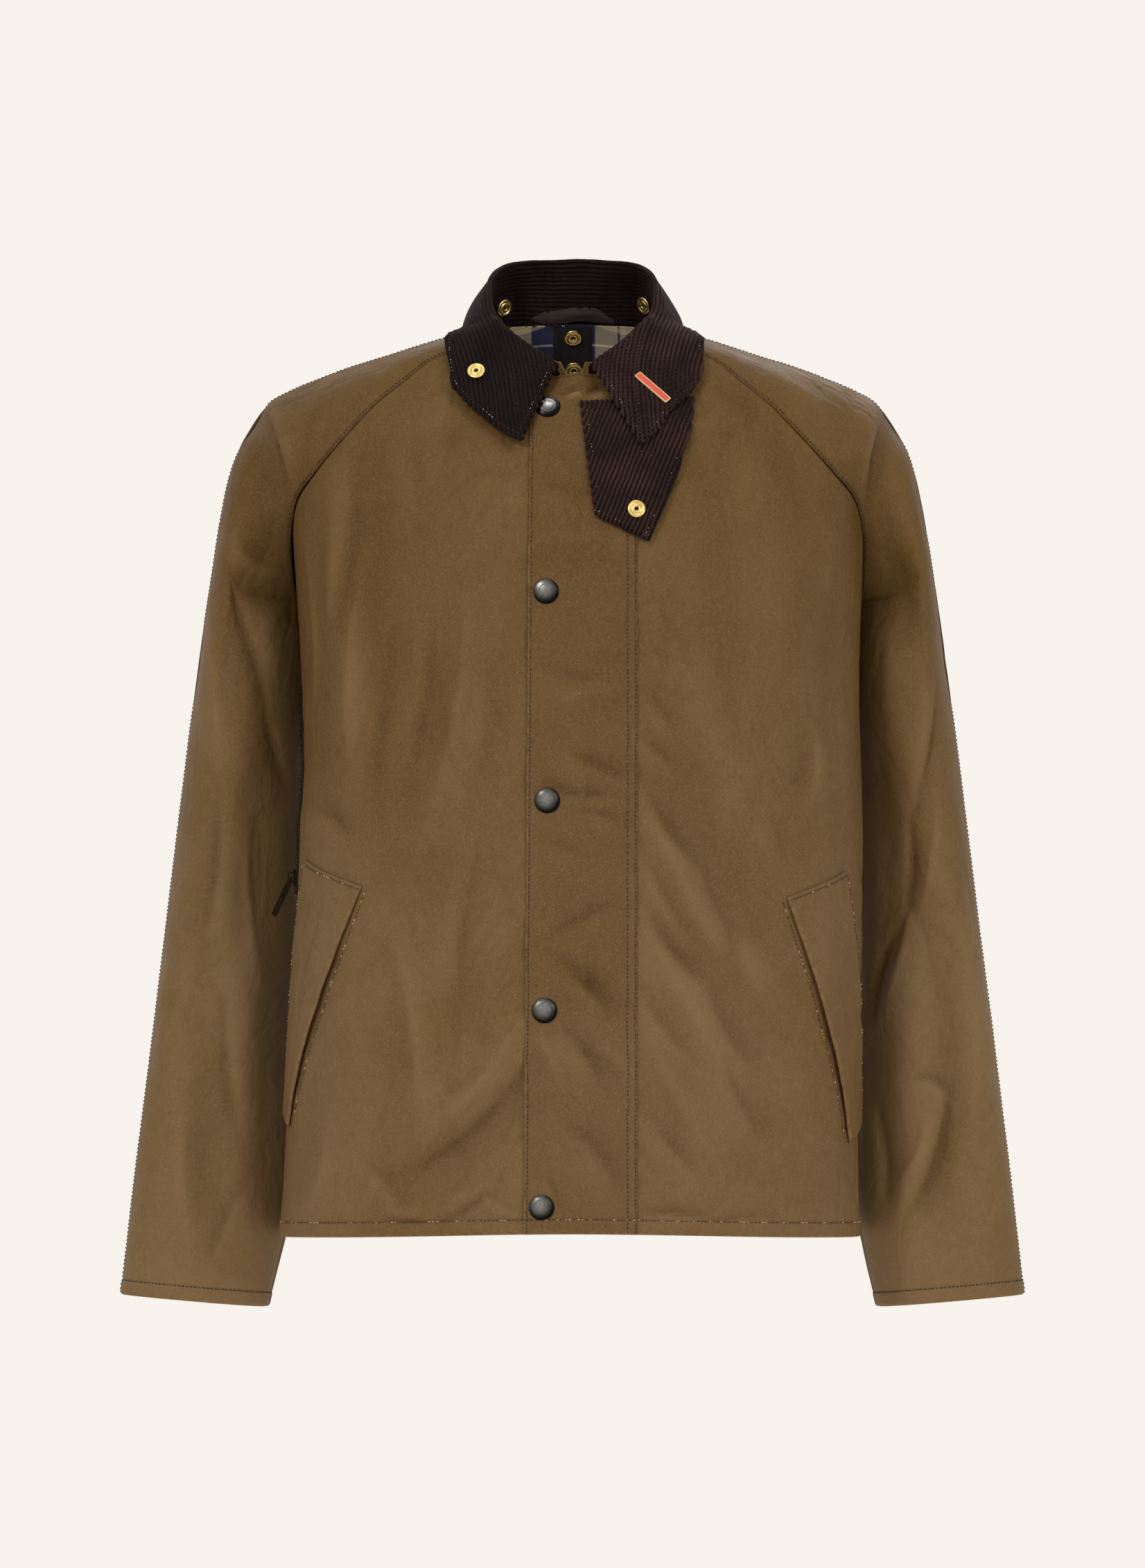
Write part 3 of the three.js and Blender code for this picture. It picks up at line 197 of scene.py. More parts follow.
# How the borders of each kind of piece are finished: how far they turn in, their rows of stitches, and
# how far the cloth dips under those where it isn't the usual. HEM is the turned-up hem. Where the cloth
# puckers is given as borders and how far in
HEM = "hem"
SIDES_AND_HEM = (("left", 0), ("right", 0), ("bottom", HEM_BAND))
SIDES_AND_TOP = (("left", 0), ("right", 0), ("top", 0))
EDGES = {
    "front": {"bottom": HEM, "right": (1.0, ()), "top": (0.9, ()), "left": (0.5, ())},
    "back": {"bottom": HEM, "left": (1.0, ()), "right": (1.0, ()), "top": (0.9, ())},
    "sleeve": {"bottom": HEM, "left": (0.5, (EDGE_ROW,)), "right": (0.5, ()), "top": (0.9, ())},
    "flap": {
        "bottom": HEM,
        "left": (0.7, (EDGE_ROW,)),
        "right": (1.1, FLAP_ROWS, 0.35),
        "top": (0.7, (FLAP_TOP_ROW,)),
    },
    "welt": {
        "left": (0.7, ()),
        "right": (1.0, (EDGE_ROW,)),
        "top": (1.0, (WELT_TOP_ROW,)),
        "bottom": (1.0, ()),
    },
    "corner": {"left": (0.4, (CORNER_ROW,), 0.3), "right": (0.4, (CORNER_ROW,), 0.3)},
    "tape": {"left": (0.25, (1.8,), 0.12), "right": (0.25, (1.8,), 0.12)},
    "loop": {"bottom": (0.35, (1.6,), 0.15), "top": (0.35, (1.6,), 0.15)},
}

# The waxed cotton's colours: light and dark tones low down, at the chest and on the sleeves, whose lighter,
# greyer ones are painted sheen, then what shows in streaks, blotches, painted sheen on ridges, painted shade
# in troughs, worn edges, fine grain, threads, painted shade along seams, and specks
WAX_TONES = {
    "low": ((96, 71, 38), (104, 82, 54)),
    "chest": ((80, 58, 24), (88, 66, 33)),
    "outer": ((106, 84, 52), (114, 92, 62)),
    "streak": (108, 84, 54),
    "blotch": (70, 49, 23),
    "ridge": (118, 95, 66),
    "trough": (70, 47, 18),
    "worn": (124, 98, 62),
    "grain": (116, 92, 60),
    "dust": (120, 97, 66),
    "dirt": (72, 50, 24),
    "thread": (136, 113, 80),
    "seam": (50, 34, 14),
    "speck": (160, 136, 96),
}

# The lining's check: how often it repeats in metres, its two blocks, and its lines as place, half width
# and colour
CHECK_REPEAT = 0.096
CHECK_BLOCKS = ((58, 66, 104), (240, 222, 186))
CHECK_LINES = (
    (0.24, 0.012, (250, 248, 240)),
    (0.74, 0.03, (226, 204, 166)),
    (0.66, 0.008, (30, 32, 46)),
)

# The studio, in metres but for the floor
LAMP_COLOUR = (1, 0.98, 0.95)
AMBIENT = 0.86
FLOOR_Z = -1400
FLOOR_RADIUS = 5200
FLOOR_SIDES = 96
CAMERA_PLACE = (0, -15, -0.3205)
CAMERA_LENS = 477.45


# A table's columns by their names
def table(columns, *rows):
    names = columns.split()
    return {name: np.array([row[k] for row in rows], float) for k, name in enumerate(names)}


# Half widths and depths of the body at each height
TORSO = table(
    "z right left front back",
    (-660, 212.5, 208.5, 131, 117),
    (-600, 208.5, 206, 132, 117),
    (-530, 205, 206.5, 133, 116),
    (-445, 200.5, 208.5, 133, 115),
    (-345, 196.5, 209.5, 134, 116),
    (-255, 198, 207.5, 137, 120),
    (-190, 200.5, 208.5, 137, 124),
    (-140, 203, 209.5, 131, 125),
    (-100, 204, 208, 119, 121),
    (-60, 204, 205, 99, 111),
    (-30, 203, 203, 78, 99),
    (0, 202, 202, 58, 80),
    (20, 202, 202, 47, 64),
)

# The raglan seams from armpit to neck, and the direction in which the sleeve leaves them
FRONT_SEAM = table(
    "at angle z out back up",
    (0, 98, -190, 45, -55, 8),
    (0.1, 91, -164, 40, -42, 10),
    (0.2, 85.5, -138, 34, -26, 12),
    (0.3, 80, -117, 30, -10, 14),
    (0.4, 73.5, -100, 28, -2, 16),
    (0.5, 69.3, -84, 25, 4, 18),
    (0.6, 65.7, -65, 21, 8, 18),
    (0.7, 63.3, -46.5, 17, 11, 16),
    (0.8, 60.9, -30, 14, 13, 13),
    (0.9, 58.5, -15, 12, 15, 9),
    (1, 51, -3, 10, 17, 4),
)
BACK_SEAM = table(
    "at angle z out back up",
    (0, 98, -190, 4, 62, 0),
    (0.1, 103, -160, 20, 45, 6),
    (0.2, 107, -133, 26, 30, 10),
    (0.3, 110, -110, 28, 16, 13),
    (0.4, 112.5, -92, 27, 6, 15),
    (0.5, 114.5, -75, 25, -3, 17),
    (0.6, 116.5, -57, 21, -8, 17),
    (0.7, 119, -39, 17, -11, 15),
    (0.8, 122, -22, 14, -14, 12),
    (0.9, 129, -5, 12, -15, 8),
    (1, 148, 12.5, 14, -9, 1),
)

# The over-arm seam from armpit level to neck
SHOULDER = table(
    "at x y z front back dip",
    (0, 258.8, 32, -154.5, 84, 92, 0),
    (0.1, 253.8, 31, -124.5, 72, 80, 1),
    (0.2, 247.8, 29, -97.5, 64, 70, 2),
    (0.3, 238.3, 26, -70.5, 58, 64, 4),
    (0.4, 223.8, 22, -50, 54, 58, 5),
    (0.5, 204.58, 18, -37, 50, 54, 6),
    (0.6, 182.58, 15, -27.5, 46, 50, 7),
    (0.7, 159.58, 12, -19, 43, 46, 7),
    (0.8, 133.5, 9, -11, 40, 42, 7),
    (0.9, 108.5, 7, -3, 36, 38, 5),
    (1, 82, 5, 5, 30, 32, 3),
)

# The arm from cuff to armpit level
ARM = table(
    "at outX outY outZ inX inY inZ front back lean",
    (0, 326.8, 46, -689, 220, 46, -698, 47, 47, 0.1),
    (0.18, 316.3, 50, -598, 201, 58, -608, 58, 62, 0.35),
    (0.36, 304.3, 56, -503, 197, 66, -517, 68, 76, 0.4),
    (0.56, 291.8, 59, -400, 193, 68, -417, 76, 86, 0.42),
    (0.74, 279.8, 55, -304, 191, 60, -325, 82, 92, 0.42),
    (0.88, 268.8, 43, -220, 190, 44, -250, 86, 94, 0.5),
    (1, 258.8, 32, -155, 190, 28, -190, 84, 92, 0.6),
)

# The largest soft folds, which the frame has too: over 0 is a ridge and under 0 a trough
FRONT_FOLDS = table(
    "x1 z1 x2 z2 width depth",
    (-186, -120, -187, -330, 13, -5),
    (-166, -125, -170, -300, 11, 3),
    (-146, -95, -150, -260, 13, -3),
    (-106, -320, -92, -520, 26, -3),
    (-110, -598, -40, -545, 16, -5),
    (-120, -560, -44, -505, 17, 3),
    (60, -270, 110, -400, 17, -3.5),
    (84, -250, 135, -370, 17, 3),
    (188, -170, 190, -330, 14, -3.5),
    (70, -540, 150, -620, 20, -3),
    (-28, -440, 44, -492, 12, -3),
    (-30, -322, 40, -318, 12, -2.5),
)
BACK_FOLDS = table(
    "x1 z1 x2 z2 width depth",
    (-150, -150, -120, -420, 18, -6),
    (-112, -180, -84, -470, 20, 5),
    (146, -160, 122, -400, 18, -6),
    (108, -170, 90, -500, 20, 4),
    (-40, -300, -18, -610, 24, -5),
    (30, -260, 44, -600, 22, 4),
)
SLEEVE_FRONT_FOLDS = table(
    "x1 z1 x2 z2 width depth",
    (229, -58, 214, -132, 11, -7),
    (212, -52, 197, -108, 12, 3.5),
    (222, -150, 262, -250, 16, -5),
    (215, -200, 250, -330, 16, 4),
    (268, -420, 262, -620, 15, -4.5),
    (236, -420, 240, -640, 14, 3.5),
    (226, -330, 236, -440, 15, -4),
)
SLEEVE_BACK_FOLDS = table(
    "x1 z1 x2 z2 width depth",
    (226, -70, 208, -150, 14, -6),
    (212, -210, 252, -290, 18, -4),
    (222, -262, 262, -335, 18, 3),
    (226, -345, 268, -400, 18, -4),
    (268, -450, 276, -640, 18, -3.5),
)

# Smaller creases, bent sideways by `bend` in their middle
FRONT_CREASES = table(
    "x1 z1 x2 z2 width depth bend",
    (-158, -92, -172, -215, 8, -1.3, 5),
    (-115, -66, -112, -150, 9, -0.8, 3),
    (-128, -205, -142, -352, 12, -1.3, -4),
    (-75, -185, -118, -390, 13, 0.7, 8),
    (-60, -240, -70, -330, 10, -0.7, 4),
    (-186, -338, -160, -362, 9, -1.4, 5),
    (-36, -526, -124, -600, 10, -1.2, 8),
    (-44, -498, -96, -560, 9, 0.9, 6),
    (-60, -612, -98, -635, 5, -1.1, 2),
    (-100, -634, -138, -631, 4, -0.9, 1),
    (-44, -628, -62, -618, 4, 0.8, 1),
    (51, -253, 72, -284, 7, -1.0, 2),
    (50, -288, 76, -314, 6, -1.2, 2),
    (50, -318, 94, -382, 9, -1.5, -4),
    (94, -380, 122, -440, 12, -1.1, -3),
    (48, -231, 66, -229, 4, -0.6, 1),
    (48, -194, 60, -190, 4, -0.5, 1),
    (56, -414, 97, -464, 12, -1.8, -4),
    (96, -462, 131, -524, 14, -1.3, -4),
    (120, -430, 136, -470, 11, 0.9, -3),
    (50, -470, 84, -515, 9, -0.9, -2),
    (106, -512, 140, -578, 12, -1.1, -3),
    (49, -628, 96, -631, 4.5, -1.3, 2),
    (100, -634, 150, -630, 4, -0.7, 1),
    (174, -280, 170, -338, 9, 1.2, 3),
    (56, -338, 112, -452, 8, 0.6, -4),
    (52, -372, 92, -440, 6, -0.9, -2),
    (60, -432, 122, -540, 9, 0.6, -5),
    (52, -496, 104, -592, 9, 0.6, -4),
    (50, -548, 92, -604, 6, -0.8, -2),
    (140, -340, 152, -384, 7, -0.8, 2),
    (-150, -130, -160, -300, 6, 1.0, -4),
    (-196, -140, -190, -262, 6, 1.1, 3),
    (-100, -200, -124, -330, 7, -0.9, 5),
    (-66, -360, -84, -500, 9, -0.9, -5),
    (-128, -430, -110, -560, 9, 0.9, 4),
    (-150, -590, -120, -628, 6, -0.9, 3),
    (-176, -570, -190, -628, 11, 1.0, 3),
)
FLAP_CREASES = table(
    "x1 z1 x2 z2 width depth bend",
    (-26, -108, 30, -120, 9, -0.8, 3),
    (-24, -144, 34, -150, 10, 0.6, 3),
    (-24, -232, 22, -246, 9, -0.8, -3),
    (-14, -262, 38, -254, 8, 0.6, 2),
    (-8, -288, 40, -316, 9, -1.1, -5),
    (-24, -318, 36, -330, 5, -1.2, -3),
    (-6, -338, 40, -352, 6, -1.0, 3),
    (-26, -358, 10, -374, 7, -0.7, 3),
    (-22, -432, 38, -408, 9, -0.9, 4),
    (-24, -437, 26, -487, 8, -1.2, 7),
    (-10, -452, 20, -476, 5, -1.0, 3),
    (-10, -490, 20, -536, 8, -1.1, 4),
    (-26, -498, -12, -530, 8, 0.8, 2),
    (18, -508, 40, -530, 7, 0.8, 2),
    (-18, -598, -10, -624, 4, -0.9, 1),
    (-6, -560, 34, -612, 12, -0.9, 5),
    (-16, -42, 9, -34, 4.5, -1.7, -1),
    (-7, -45, 14, -36, 5, 1.4, -1),
    (3, -39, 24, -34, 4.5, -2.8, -2.5),
    (14, -45, 40, -42, 5, 0.9, 1),
)
BACK_CREASES = table(
    "x1 z1 x2 z2 width depth bend",
    (-168, -140, -150, -250, 9, -1.6, 5),
    (-128, -230, -104, -360, 12, 1.2, -5),
    (-96, -120, -40, -150, 12, -1.0, 6),
    (40, -146, 104, -118, 12, -1.1, 6),
    (165, -138, 150, -262, 9, -1.5, -5),
    (70, -380, 96, -520, 14, -1.4, 6),
    (-70, -420, -60, -560, 13, 1.2, 5),
    (-150, -440, -120, -580, 13, -1.6, -6),
    (130, -470, 160, -600, 12, 1.1, 5),
    (4, -430, 12, -540, 12, -1.0, -4),
    (-110, -634, -64, -628, 4, -1.0, 1),
    (60, -632, 118, -634, 4, -1.0, 1),
    (-30, -40, 34, -44, 10, -0.7, 3),
)
RIGHT_SLEEVE_CREASES = table(
    "x1 z1 x2 z2 width depth bend",
    (222, -50, 203, -134, 4.5, -2.2, -4),
    (247, -140, 205, -168, 10, 0.9, 9),
    (250, -158, 204, -186, 10, -0.9, 10),
    (246, -174, 222, -274, 10, -2.0, -3),
    (222, -272, 207, -322, 9, -1.5, 0),
    (262, -190, 250, -300, 12, 1.1, 4),
    (256, -330, 266, -430, 11, -1.2, -4),
    (232, -350, 226, -470, 10, 1.2, 3),
    (250, -470, 240, -580, 11, -1.3, 4),
    (280, -560, 276, -650, 10, 1.0, 3),
    (236, -610, 262, -668, 8, -1.1, 3),
    (232, -46, 250, -82, 6, 1.0, 2),
)
LEFT_SLEEVE_CREASES = table(
    "x1 z1 x2 z2 width depth bend",
    (225, -58, 211, -138, 4.5, -2.6, -2),
    (215, -150, 226, -168, 5, -1.0, 3),
    (264, -250, 245, -345, 6, -1.6, 3),
    (262, -330, 252, -410, 9, 0.9, 2),
    (242, -345, 240, -415, 10, -1.6, 2),
    (242, -412, 215, -514, 9, 1.5, 4),
    (238, -420, 218, -500, 7, -1.4, -8),
    (244, -534, 270, -545, 7, -1.3, 5),
    (271, -540, 241, -634, 8, -1.9, 6),
    (256, -560, 236, -610, 8, 1.0, 4),
    (220, -550, 226, -625, 8, -1.4, 3),
    (284, -440, 290, -560, 12, 0.9, 4),
    (252, -90, 262, -150, 7, 1.0, 2),
)
SLEEVE_BACK_CREASES = table(
    "x1 z1 x2 z2 width depth bend",
    (224, -62, 206, -140, 6, -1.8, -3),
    (206, -190, 246, -240, 9, -1.6, 6),
    (214, -236, 262, -282, 9, 1.4, 7),
    (220, -300, 270, -338, 8, -1.7, 8),
    (236, -366, 280, -384, 9, 1.3, 6),
    (250, -420, 262, -540, 12, -1.3, 5),
    (232, -500, 246, -620, 10, 1.2, 4),
    (284, -540, 290, -650, 10, -1.1, 3),
)

# The studs' places down the flap
STUDS = table("x z", (-18, -50.3), (-19, -182.8), (-18, -332.3), (-20, -482.5), (-22, -623.3))

# The pocket welts' corners, as angle round the body and height
WELTS = {
    "right": {
        "front": (57.6, -394),
        "rear": (78, -375),
        "lowFront": (81, -567),
        "lowRear": (96, -552),
    },
    "left": {
        "front": (57.1, -402),
        "rear": (73.9, -383.5),
        "lowFront": (77.3, -578),
        "lowRear": (92.5, -563),
    },
}

# The front facings' small corners, which stand up inside the neck: their feet and heads at (x, z)
NECK_CORNERS = {
    "right": {"foot": ((-17, -31), (-4.2, -27)), "head": ((-13.5, -16.5), (-9.2, -17.8))},
    "left": {"foot": ((7, -25), (25, -32)), "head": ((9.8, -17.6), (15.6, -17.6))},
}

# The collar, from its front end to the centre back. `grain` is where on the fall, from roll to
# edge, the cord that starts on the roll line at the side runs
COLLAR = table(
    "at rollX rollY rollZ edgeX edgeY edgeZ lift grain",
    (0, 11, -86, -18, 36.5, -117, -74, 6.6, 1),
    (0.09, 23, -81, -10, 51.5, -112, -66, 6.6, 0.76),
    (0.19, 37, -71, 0, 63.5, -104, -57, 6.6, 0.5),
    (0.3, 50, -54, 11, 77, -92, -47, 6.8, 0.22),
    (0.41, 58, -34, 23, 87, -76, -32, 6, 0.06),
    (0.52, 60, -10, 36, 86, -44, -11, 4.7, 0),
    (0.64, 57.5, 15, 47, 75.5, 2, 8, 2.8, 0),
    (0.76, 48, 38, 55, 68, 62, 5, 5, 0),
    (0.88, 28, 52, 58.5, 44, 93, -5, 4.5, 0),
    (1, 0, 57, 59.5, 0, 103, -8, 4.5, 0),
)
TAB = table(
    "at leftX leftZ rightX rightZ",
    (0, 6, -46, 87, -43),
    (0.3, 9, -70, 83, -72),
    (0.6, 12.5, -97, 71, -107),
    (1, 16.5, -128, 54.5, -146),
)


def mix(a, b, t):
    return a + (b - a) * t


def clamp01(t):
    return np.clip(t, 0, 1)


def ease(t):
    t = clamp01(t)
    return t * t * (3 - 2 * t)


def unit(v):
    return v / np.maximum(np.linalg.norm(v, axis=-1, keepdims=True), 1e-9)


def xyz(x, y, z):
    return np.stack(np.broadcast_arrays(x, y, z), -1).astype(float)


# From a at t = 0 to b at t = 1, with a slope at each end
def hermite(t, a, slope_a, b, slope_b):
    return (
        (2 * t**3 - 3 * t**2 + 1) * a
        + (t**3 - 2 * t**2 + t) * slope_a
        + (3 * t**2 - 2 * t**3) * b
        + (t**3 - t**2) * slope_b
    )


# The value of one column of a table on a smooth curve through its rows
def follow(rows, key, column, where):
    keys, values = rows[key], rows[column]
    slopes = np.empty_like(values)
    slopes[1:-1] = (values[2:] - values[:-2]) / (keys[2:] - keys[:-2])
    slopes[0] = (values[1] - values[0]) / (keys[1] - keys[0])
    slopes[-1] = (values[-1] - values[-2]) / (keys[-1] - keys[-2])
    where = np.asarray(where, float)
    k = np.clip(np.searchsorted(keys, where, side="right") - 1, 0, len(keys) - 2)
    step = keys[k + 1] - keys[k]
    t = clamp01((where - keys[k]) / step)
    return hermite(t, values[k], step * slopes[k], values[k + 1], step * slopes[k + 1])


# The body's surface at an angle from the front, in degrees, on one side
def body_point(side, angle, z):
    s, c = np.sin(np.radians(angle)), np.cos(np.radians(angle))
    width = follow(TORSO, "z", "right" if side < 0 else "left", z)
    depth = np.where(c > 0, follow(TORSO, "z", "front", z), follow(TORSO, "z", "back", z))
    reach = (np.abs(s / width) ** BODY_POWER + np.abs(c / depth) ** BODY_POWER) ** (-1 / BODY_POWER)
    return xyz(side * reach * s, -reach * c, z)


# Points on the cubic curve that four control points give
def bezier(controls, t):
    u = 1 - t
    weights = [u**3, 3 * u * u * t, 3 * u * t * t, t**3]
    return sum(w[..., None] * p for w, p in zip(weights, controls))


# The rows of a table, one after the other
def rows_of(folds):
    for k in range(len(next(iter(folds.values())))):
        yield {name: float(column[k]) for name, column in folds.items()}


# How far the frame's folds move the cloth at a point seen at (x, z)
def fold_depth(folds, x, z):
    depth = np.zeros(np.shape(x))
    for f in rows_of(folds):
        dx, dz = f["x2"] - f["x1"], f["z2"] - f["z1"]
        t = clamp01(((x - f["x1"]) * dx + (z - f["z1"]) * dz) / (dx * dx + dz * dz))
        away = np.hypot(x - f["x1"] - dx * t, z - f["z1"] - dz * t)
        depth += f["depth"] * (1 - np.abs(2 * t - 1) ** 3 * 0.6) * np.exp(-((away / f["width"]) ** 2))
    return depth


# The same for the smaller creases, each with a softer opposite beside it and ends that fade
def crease_depth(creases, x, z):
    depth = np.zeros(np.shape(x))
    for f in rows_of(creases):
        dx, dz = f["x2"] - f["x1"], f["z2"] - f["z1"]
        length = math.hypot(dx, dz)
        along = ((x - f["x1"]) * dx + (z - f["z1"]) * dz) / length
        t = clamp01(along / length)
        over = np.maximum(np.maximum(-along, along - length), 0)
        across = ((z - f["z1"]) * dx - (x - f["x1"]) * dz) / length - f["bend"] * 4 * t * (1 - t)
        past = (over / f["width"]) ** 2
        slope = np.where(across > 0, CREASE_FLAT, CREASE_STEEP)
        width = np.maximum(f["width"] * (0.48 + 0.4 * t) * slope, CREASE_LEAST)
        line = np.exp(-1.5 * (np.sqrt((across / width) ** 2 + past + 0.05) - 0.22))
        opposite = 1.1 * f["width"]
        beside = np.exp(-(((across + opposite) / opposite) ** 2 + past))
        strength = 0.2 + 0.8 * np.sin(np.pi * t) ** 0.8
        depth += CREASE_STRENGTH * f["depth"] * strength * (line - 0.4 * beside)
    return depth


# Normals of a grid of points, on the side that `turn` gives
def grid_normals(grid, turn):
    def steps(g):
        s = np.empty_like(g)
        s[1:-1] = g[2:] - g[:-2]
        s[0] = g[1] - g[0]
        s[-1] = g[-1] - g[-2]
        return s

    across = steps(grid.swapaxes(0, 1)).swapaxes(0, 1)
    return turn * unit(np.cross(across, steps(grid)))


# Distances in the cloth from a grid's four borders, in the order left, right, bottom, top
def border_distances(grid):
    across = np.linalg.norm(np.diff(grid, axis=1), axis=-1)
    up = np.linalg.norm(np.diff(grid, axis=0), axis=-1)
    u = np.concatenate([np.zeros((len(grid), 1)), np.cumsum(across, 1)], 1)
    v = np.concatenate([np.zeros((1, grid.shape[1])), np.cumsum(up, 0)], 0)
    return u, u[:, -1:] - u, v, v[-1:] - v


# A noise at the grid's points, in lumps of a size in mm that are stretched upwards
def soft_noise(grid, size, stretch, seed):
    points = grid.reshape(-1, 3) / (size, size, size * stretch)
    values = [noise.noise(Vector((x + seed, y, z))) for x, y, z in points]
    return np.array(values).reshape(grid.shape[:-1])


# A grid of points in the cloth, rows from bottom to top, with the relief that its colour follows: painted
# shade in its troughs and painted sheen on its ridges
class Panel:
    def __init__(self, grid, turn):
        self.grid, self.turn = grid, turn
        self.normals = grid_normals(grid, turn)
        self.left, self.right, self.bottom, self.top = border_distances(grid)
        self.relief = np.zeros(grid.shape[:-1])

    def move(self, by, relief=0.0):
        self.grid = self.grid + self.normals * by[..., None]
        self.relief = self.relief + by * relief

    def part(self, rows, columns):
        made = Panel(self.grid[rows, columns], self.turn)
        made.normals = self.normals[rows, columns].copy()
        return made

    # The line that runs a distance inside one border, as points and normals
    def line(self, border, distance):
        away = getattr(self, border)
        if border in ("bottom", "top"):
            away, grid, normals = away.T, self.grid.swapaxes(0, 1), self.normals.swapaxes(0, 1)
        else:
            grid, normals = self.grid, self.normals
        if border in ("right", "top"):
            away, grid, normals = away[:, ::-1], grid[:, ::-1], normals[:, ::-1]
        points = [[np.interp(distance, a, g[:, k]) for k in range(3)] for a, g in zip(away, grid)]
        upright = [[np.interp(distance, a, n[:, k]) for k in range(3)] for a, n in zip(away, normals)]
        return np.array(points), unit(np.array(upright))


# A soft bump of height 1 at a distance
def bump(distance, at, width):
    return np.exp(-(((distance - at) / width) ** 2))


# What sewing does to a border: the edge turns in, and the cloth dips under a row of stitches
def sewn_edge(distance, turn, rows, dip=0.4):
    shape = -turn * bump(distance, 0, TURN_WIDTH)
    for at in rows:
        shape -= dip * bump(distance, at, DIP_WIDTH)
    return shape


# Shares from 0 to 1 of a length, closer together where steps are given
def places(length, start=(), end=(), step=STEP):
    first, last = list(start), [length - s for s in reversed(end)]
    low = first[-1] if first else 0
    high = last[0] if last else length
    count = max(int(round((high - low) / step)), 1)
    inner = list(np.linspace(low, high, count + 1))
    made = [0.0] * bool(first) + first[:-1] + inner + last[1:] + [length] * bool(last)
    return np.array(made) / length


TORSO_T = np.concatenate([
    places(ARMPIT_Z - HEM_Z, HEM_STEPS) - 1,
    places(RAGLAN, (), SEAM_STEPS, RAGLAN_STEP)[1:],
])
ARM_T = np.concatenate([
    places(ARM_LENGTH, HEM_STEPS) - 1,
    places(RAGLAN, (), SEAM_STEPS, RAGLAN_STEP)[1:],
])


# One torso half. t goes from hem (-1) to armpit (0) and up the raglan seam to the neck (1).
# On a front c goes from the front edge (-1) to the flap's border (0) and on to the side (1);
# on the back it goes from the right side (-1) to the left (1).
def torso_grid(side, half, t, c):
    t, c = t[:, None], c[None, :]
    front = half == "front"
    seam, centre_z = (FRONT_SEAM, NECK_FRONT_Z) if front else (BACK_SEAM, NECK_BACK_Z)
    low, at = t < 0, clamp01(t)
    middle_z = np.where(low, mix(HEM_Z, ARMPIT_Z, t + 1), mix(ARMPIT_Z, centre_z, at))
    seam_angle = np.where(low, ARMPIT_ANGLE, follow(seam, "at", "angle", at))
    edge_z = np.where(low, middle_z, follow(seam, "at", "z", at))
    if not front:
        share = np.abs(c)
        z = mix(middle_z, edge_z, share**2)
        angle = mix(180.0, seam_angle, share)
        return np.where((c < 0)[..., None], body_point(-1, angle, z), body_point(1, angle, z))
    depth = follow(TORSO, "z", "front", middle_z)
    flap_x = FLAP_SEAM_X if side > 0 else mix(*FLAP_EDGE_X, clamp01(middle_z / HEM_Z))
    edge_angle = np.degrees(np.arctan2(side * FRONT_EDGE_X, depth))
    flap_angle = np.degrees(np.arctan2(side * flap_x, depth))
    angle = np.where(c < 0, mix(flap_angle, edge_angle, -c), mix(flap_angle, seam_angle, c))
    share = clamp01(angle / seam_angle)
    near = clamp01(1 - (middle_z - HEM_Z) / 60)
    z = mix(middle_z, edge_z, share**2)
    z = z + np.where(low, HEM_LIFT * near * np.cos(np.radians(angle)) ** 2, 0)
    return body_point(side, angle, z)


# The four control points of each row of half a sleeve, from its inner seam to the over-arm seam
def sleeve_controls(side, half, t):
    sign = 1 if half == "back" else -1
    seam = BACK_SEAM if half == "back" else FRONT_SEAM
    arm, at = clamp01(t + 1), clamp01(t)

    def arm_value(column):
        return follow(ARM, "at", column, arm)

    out = xyz(side * arm_value("outX"), arm_value("outY"), arm_value("outZ"))
    shift = LEFT_ARM_OUT * clamp01((arm - 0.05) / 0.5) if side > 0 else 0
    inner = xyz(side * (arm_value("inX") + shift), arm_value("inY"), arm_value("inZ"))
    armpit = body_point(side, ARMPIT_ANGLE, ARMPIT_Z)
    inner = mix(inner, armpit, (clamp01((arm - 0.9) / 0.1) ** 2)[:, None])
    reach = arm_value(half)
    lean = -arm_value("lean") * (1 - arm) if half == "back" else arm_value("lean")
    leave = unit(xyz(side * lean, sign, 0 * lean)) * reach[:, None]
    first = np.array([side * seam["out"][0], seam["back"][0], seam["up"][0]])
    leave = mix(leave, first, ease((arm - 0.8) / 0.2)[:, None])
    lower = [inner, inner + leave, out + xyz(0, sign * reach, 0), out]

    def value(rows, column):
        return follow(rows, "at", column, at)

    start = body_point(side, value(seam, "angle"), value(seam, "z"))
    leave = xyz(side * value(seam, "out"), value(seam, "back"), value(seam, "up"))
    ridge = xyz(side * value(SHOULDER, "x"), value(SHOULDER, "y"), value(SHOULDER, "z"))
    level = xyz(0, sign * value(SHOULDER, half), -value(SHOULDER, "dip"))
    upper = [start, start + leave, ridge + level, ridge]
    low = (t < 0)[:, None]
    return [np.where(low, a, b) for a, b in zip(lower, upper)]


# A tree that finds the nearest of the points
def tree_of(points):
    tree = KDTree(len(points))
    for k, point in enumerate(points):
        tree.insert(point, k)
    tree.balance()
    return tree


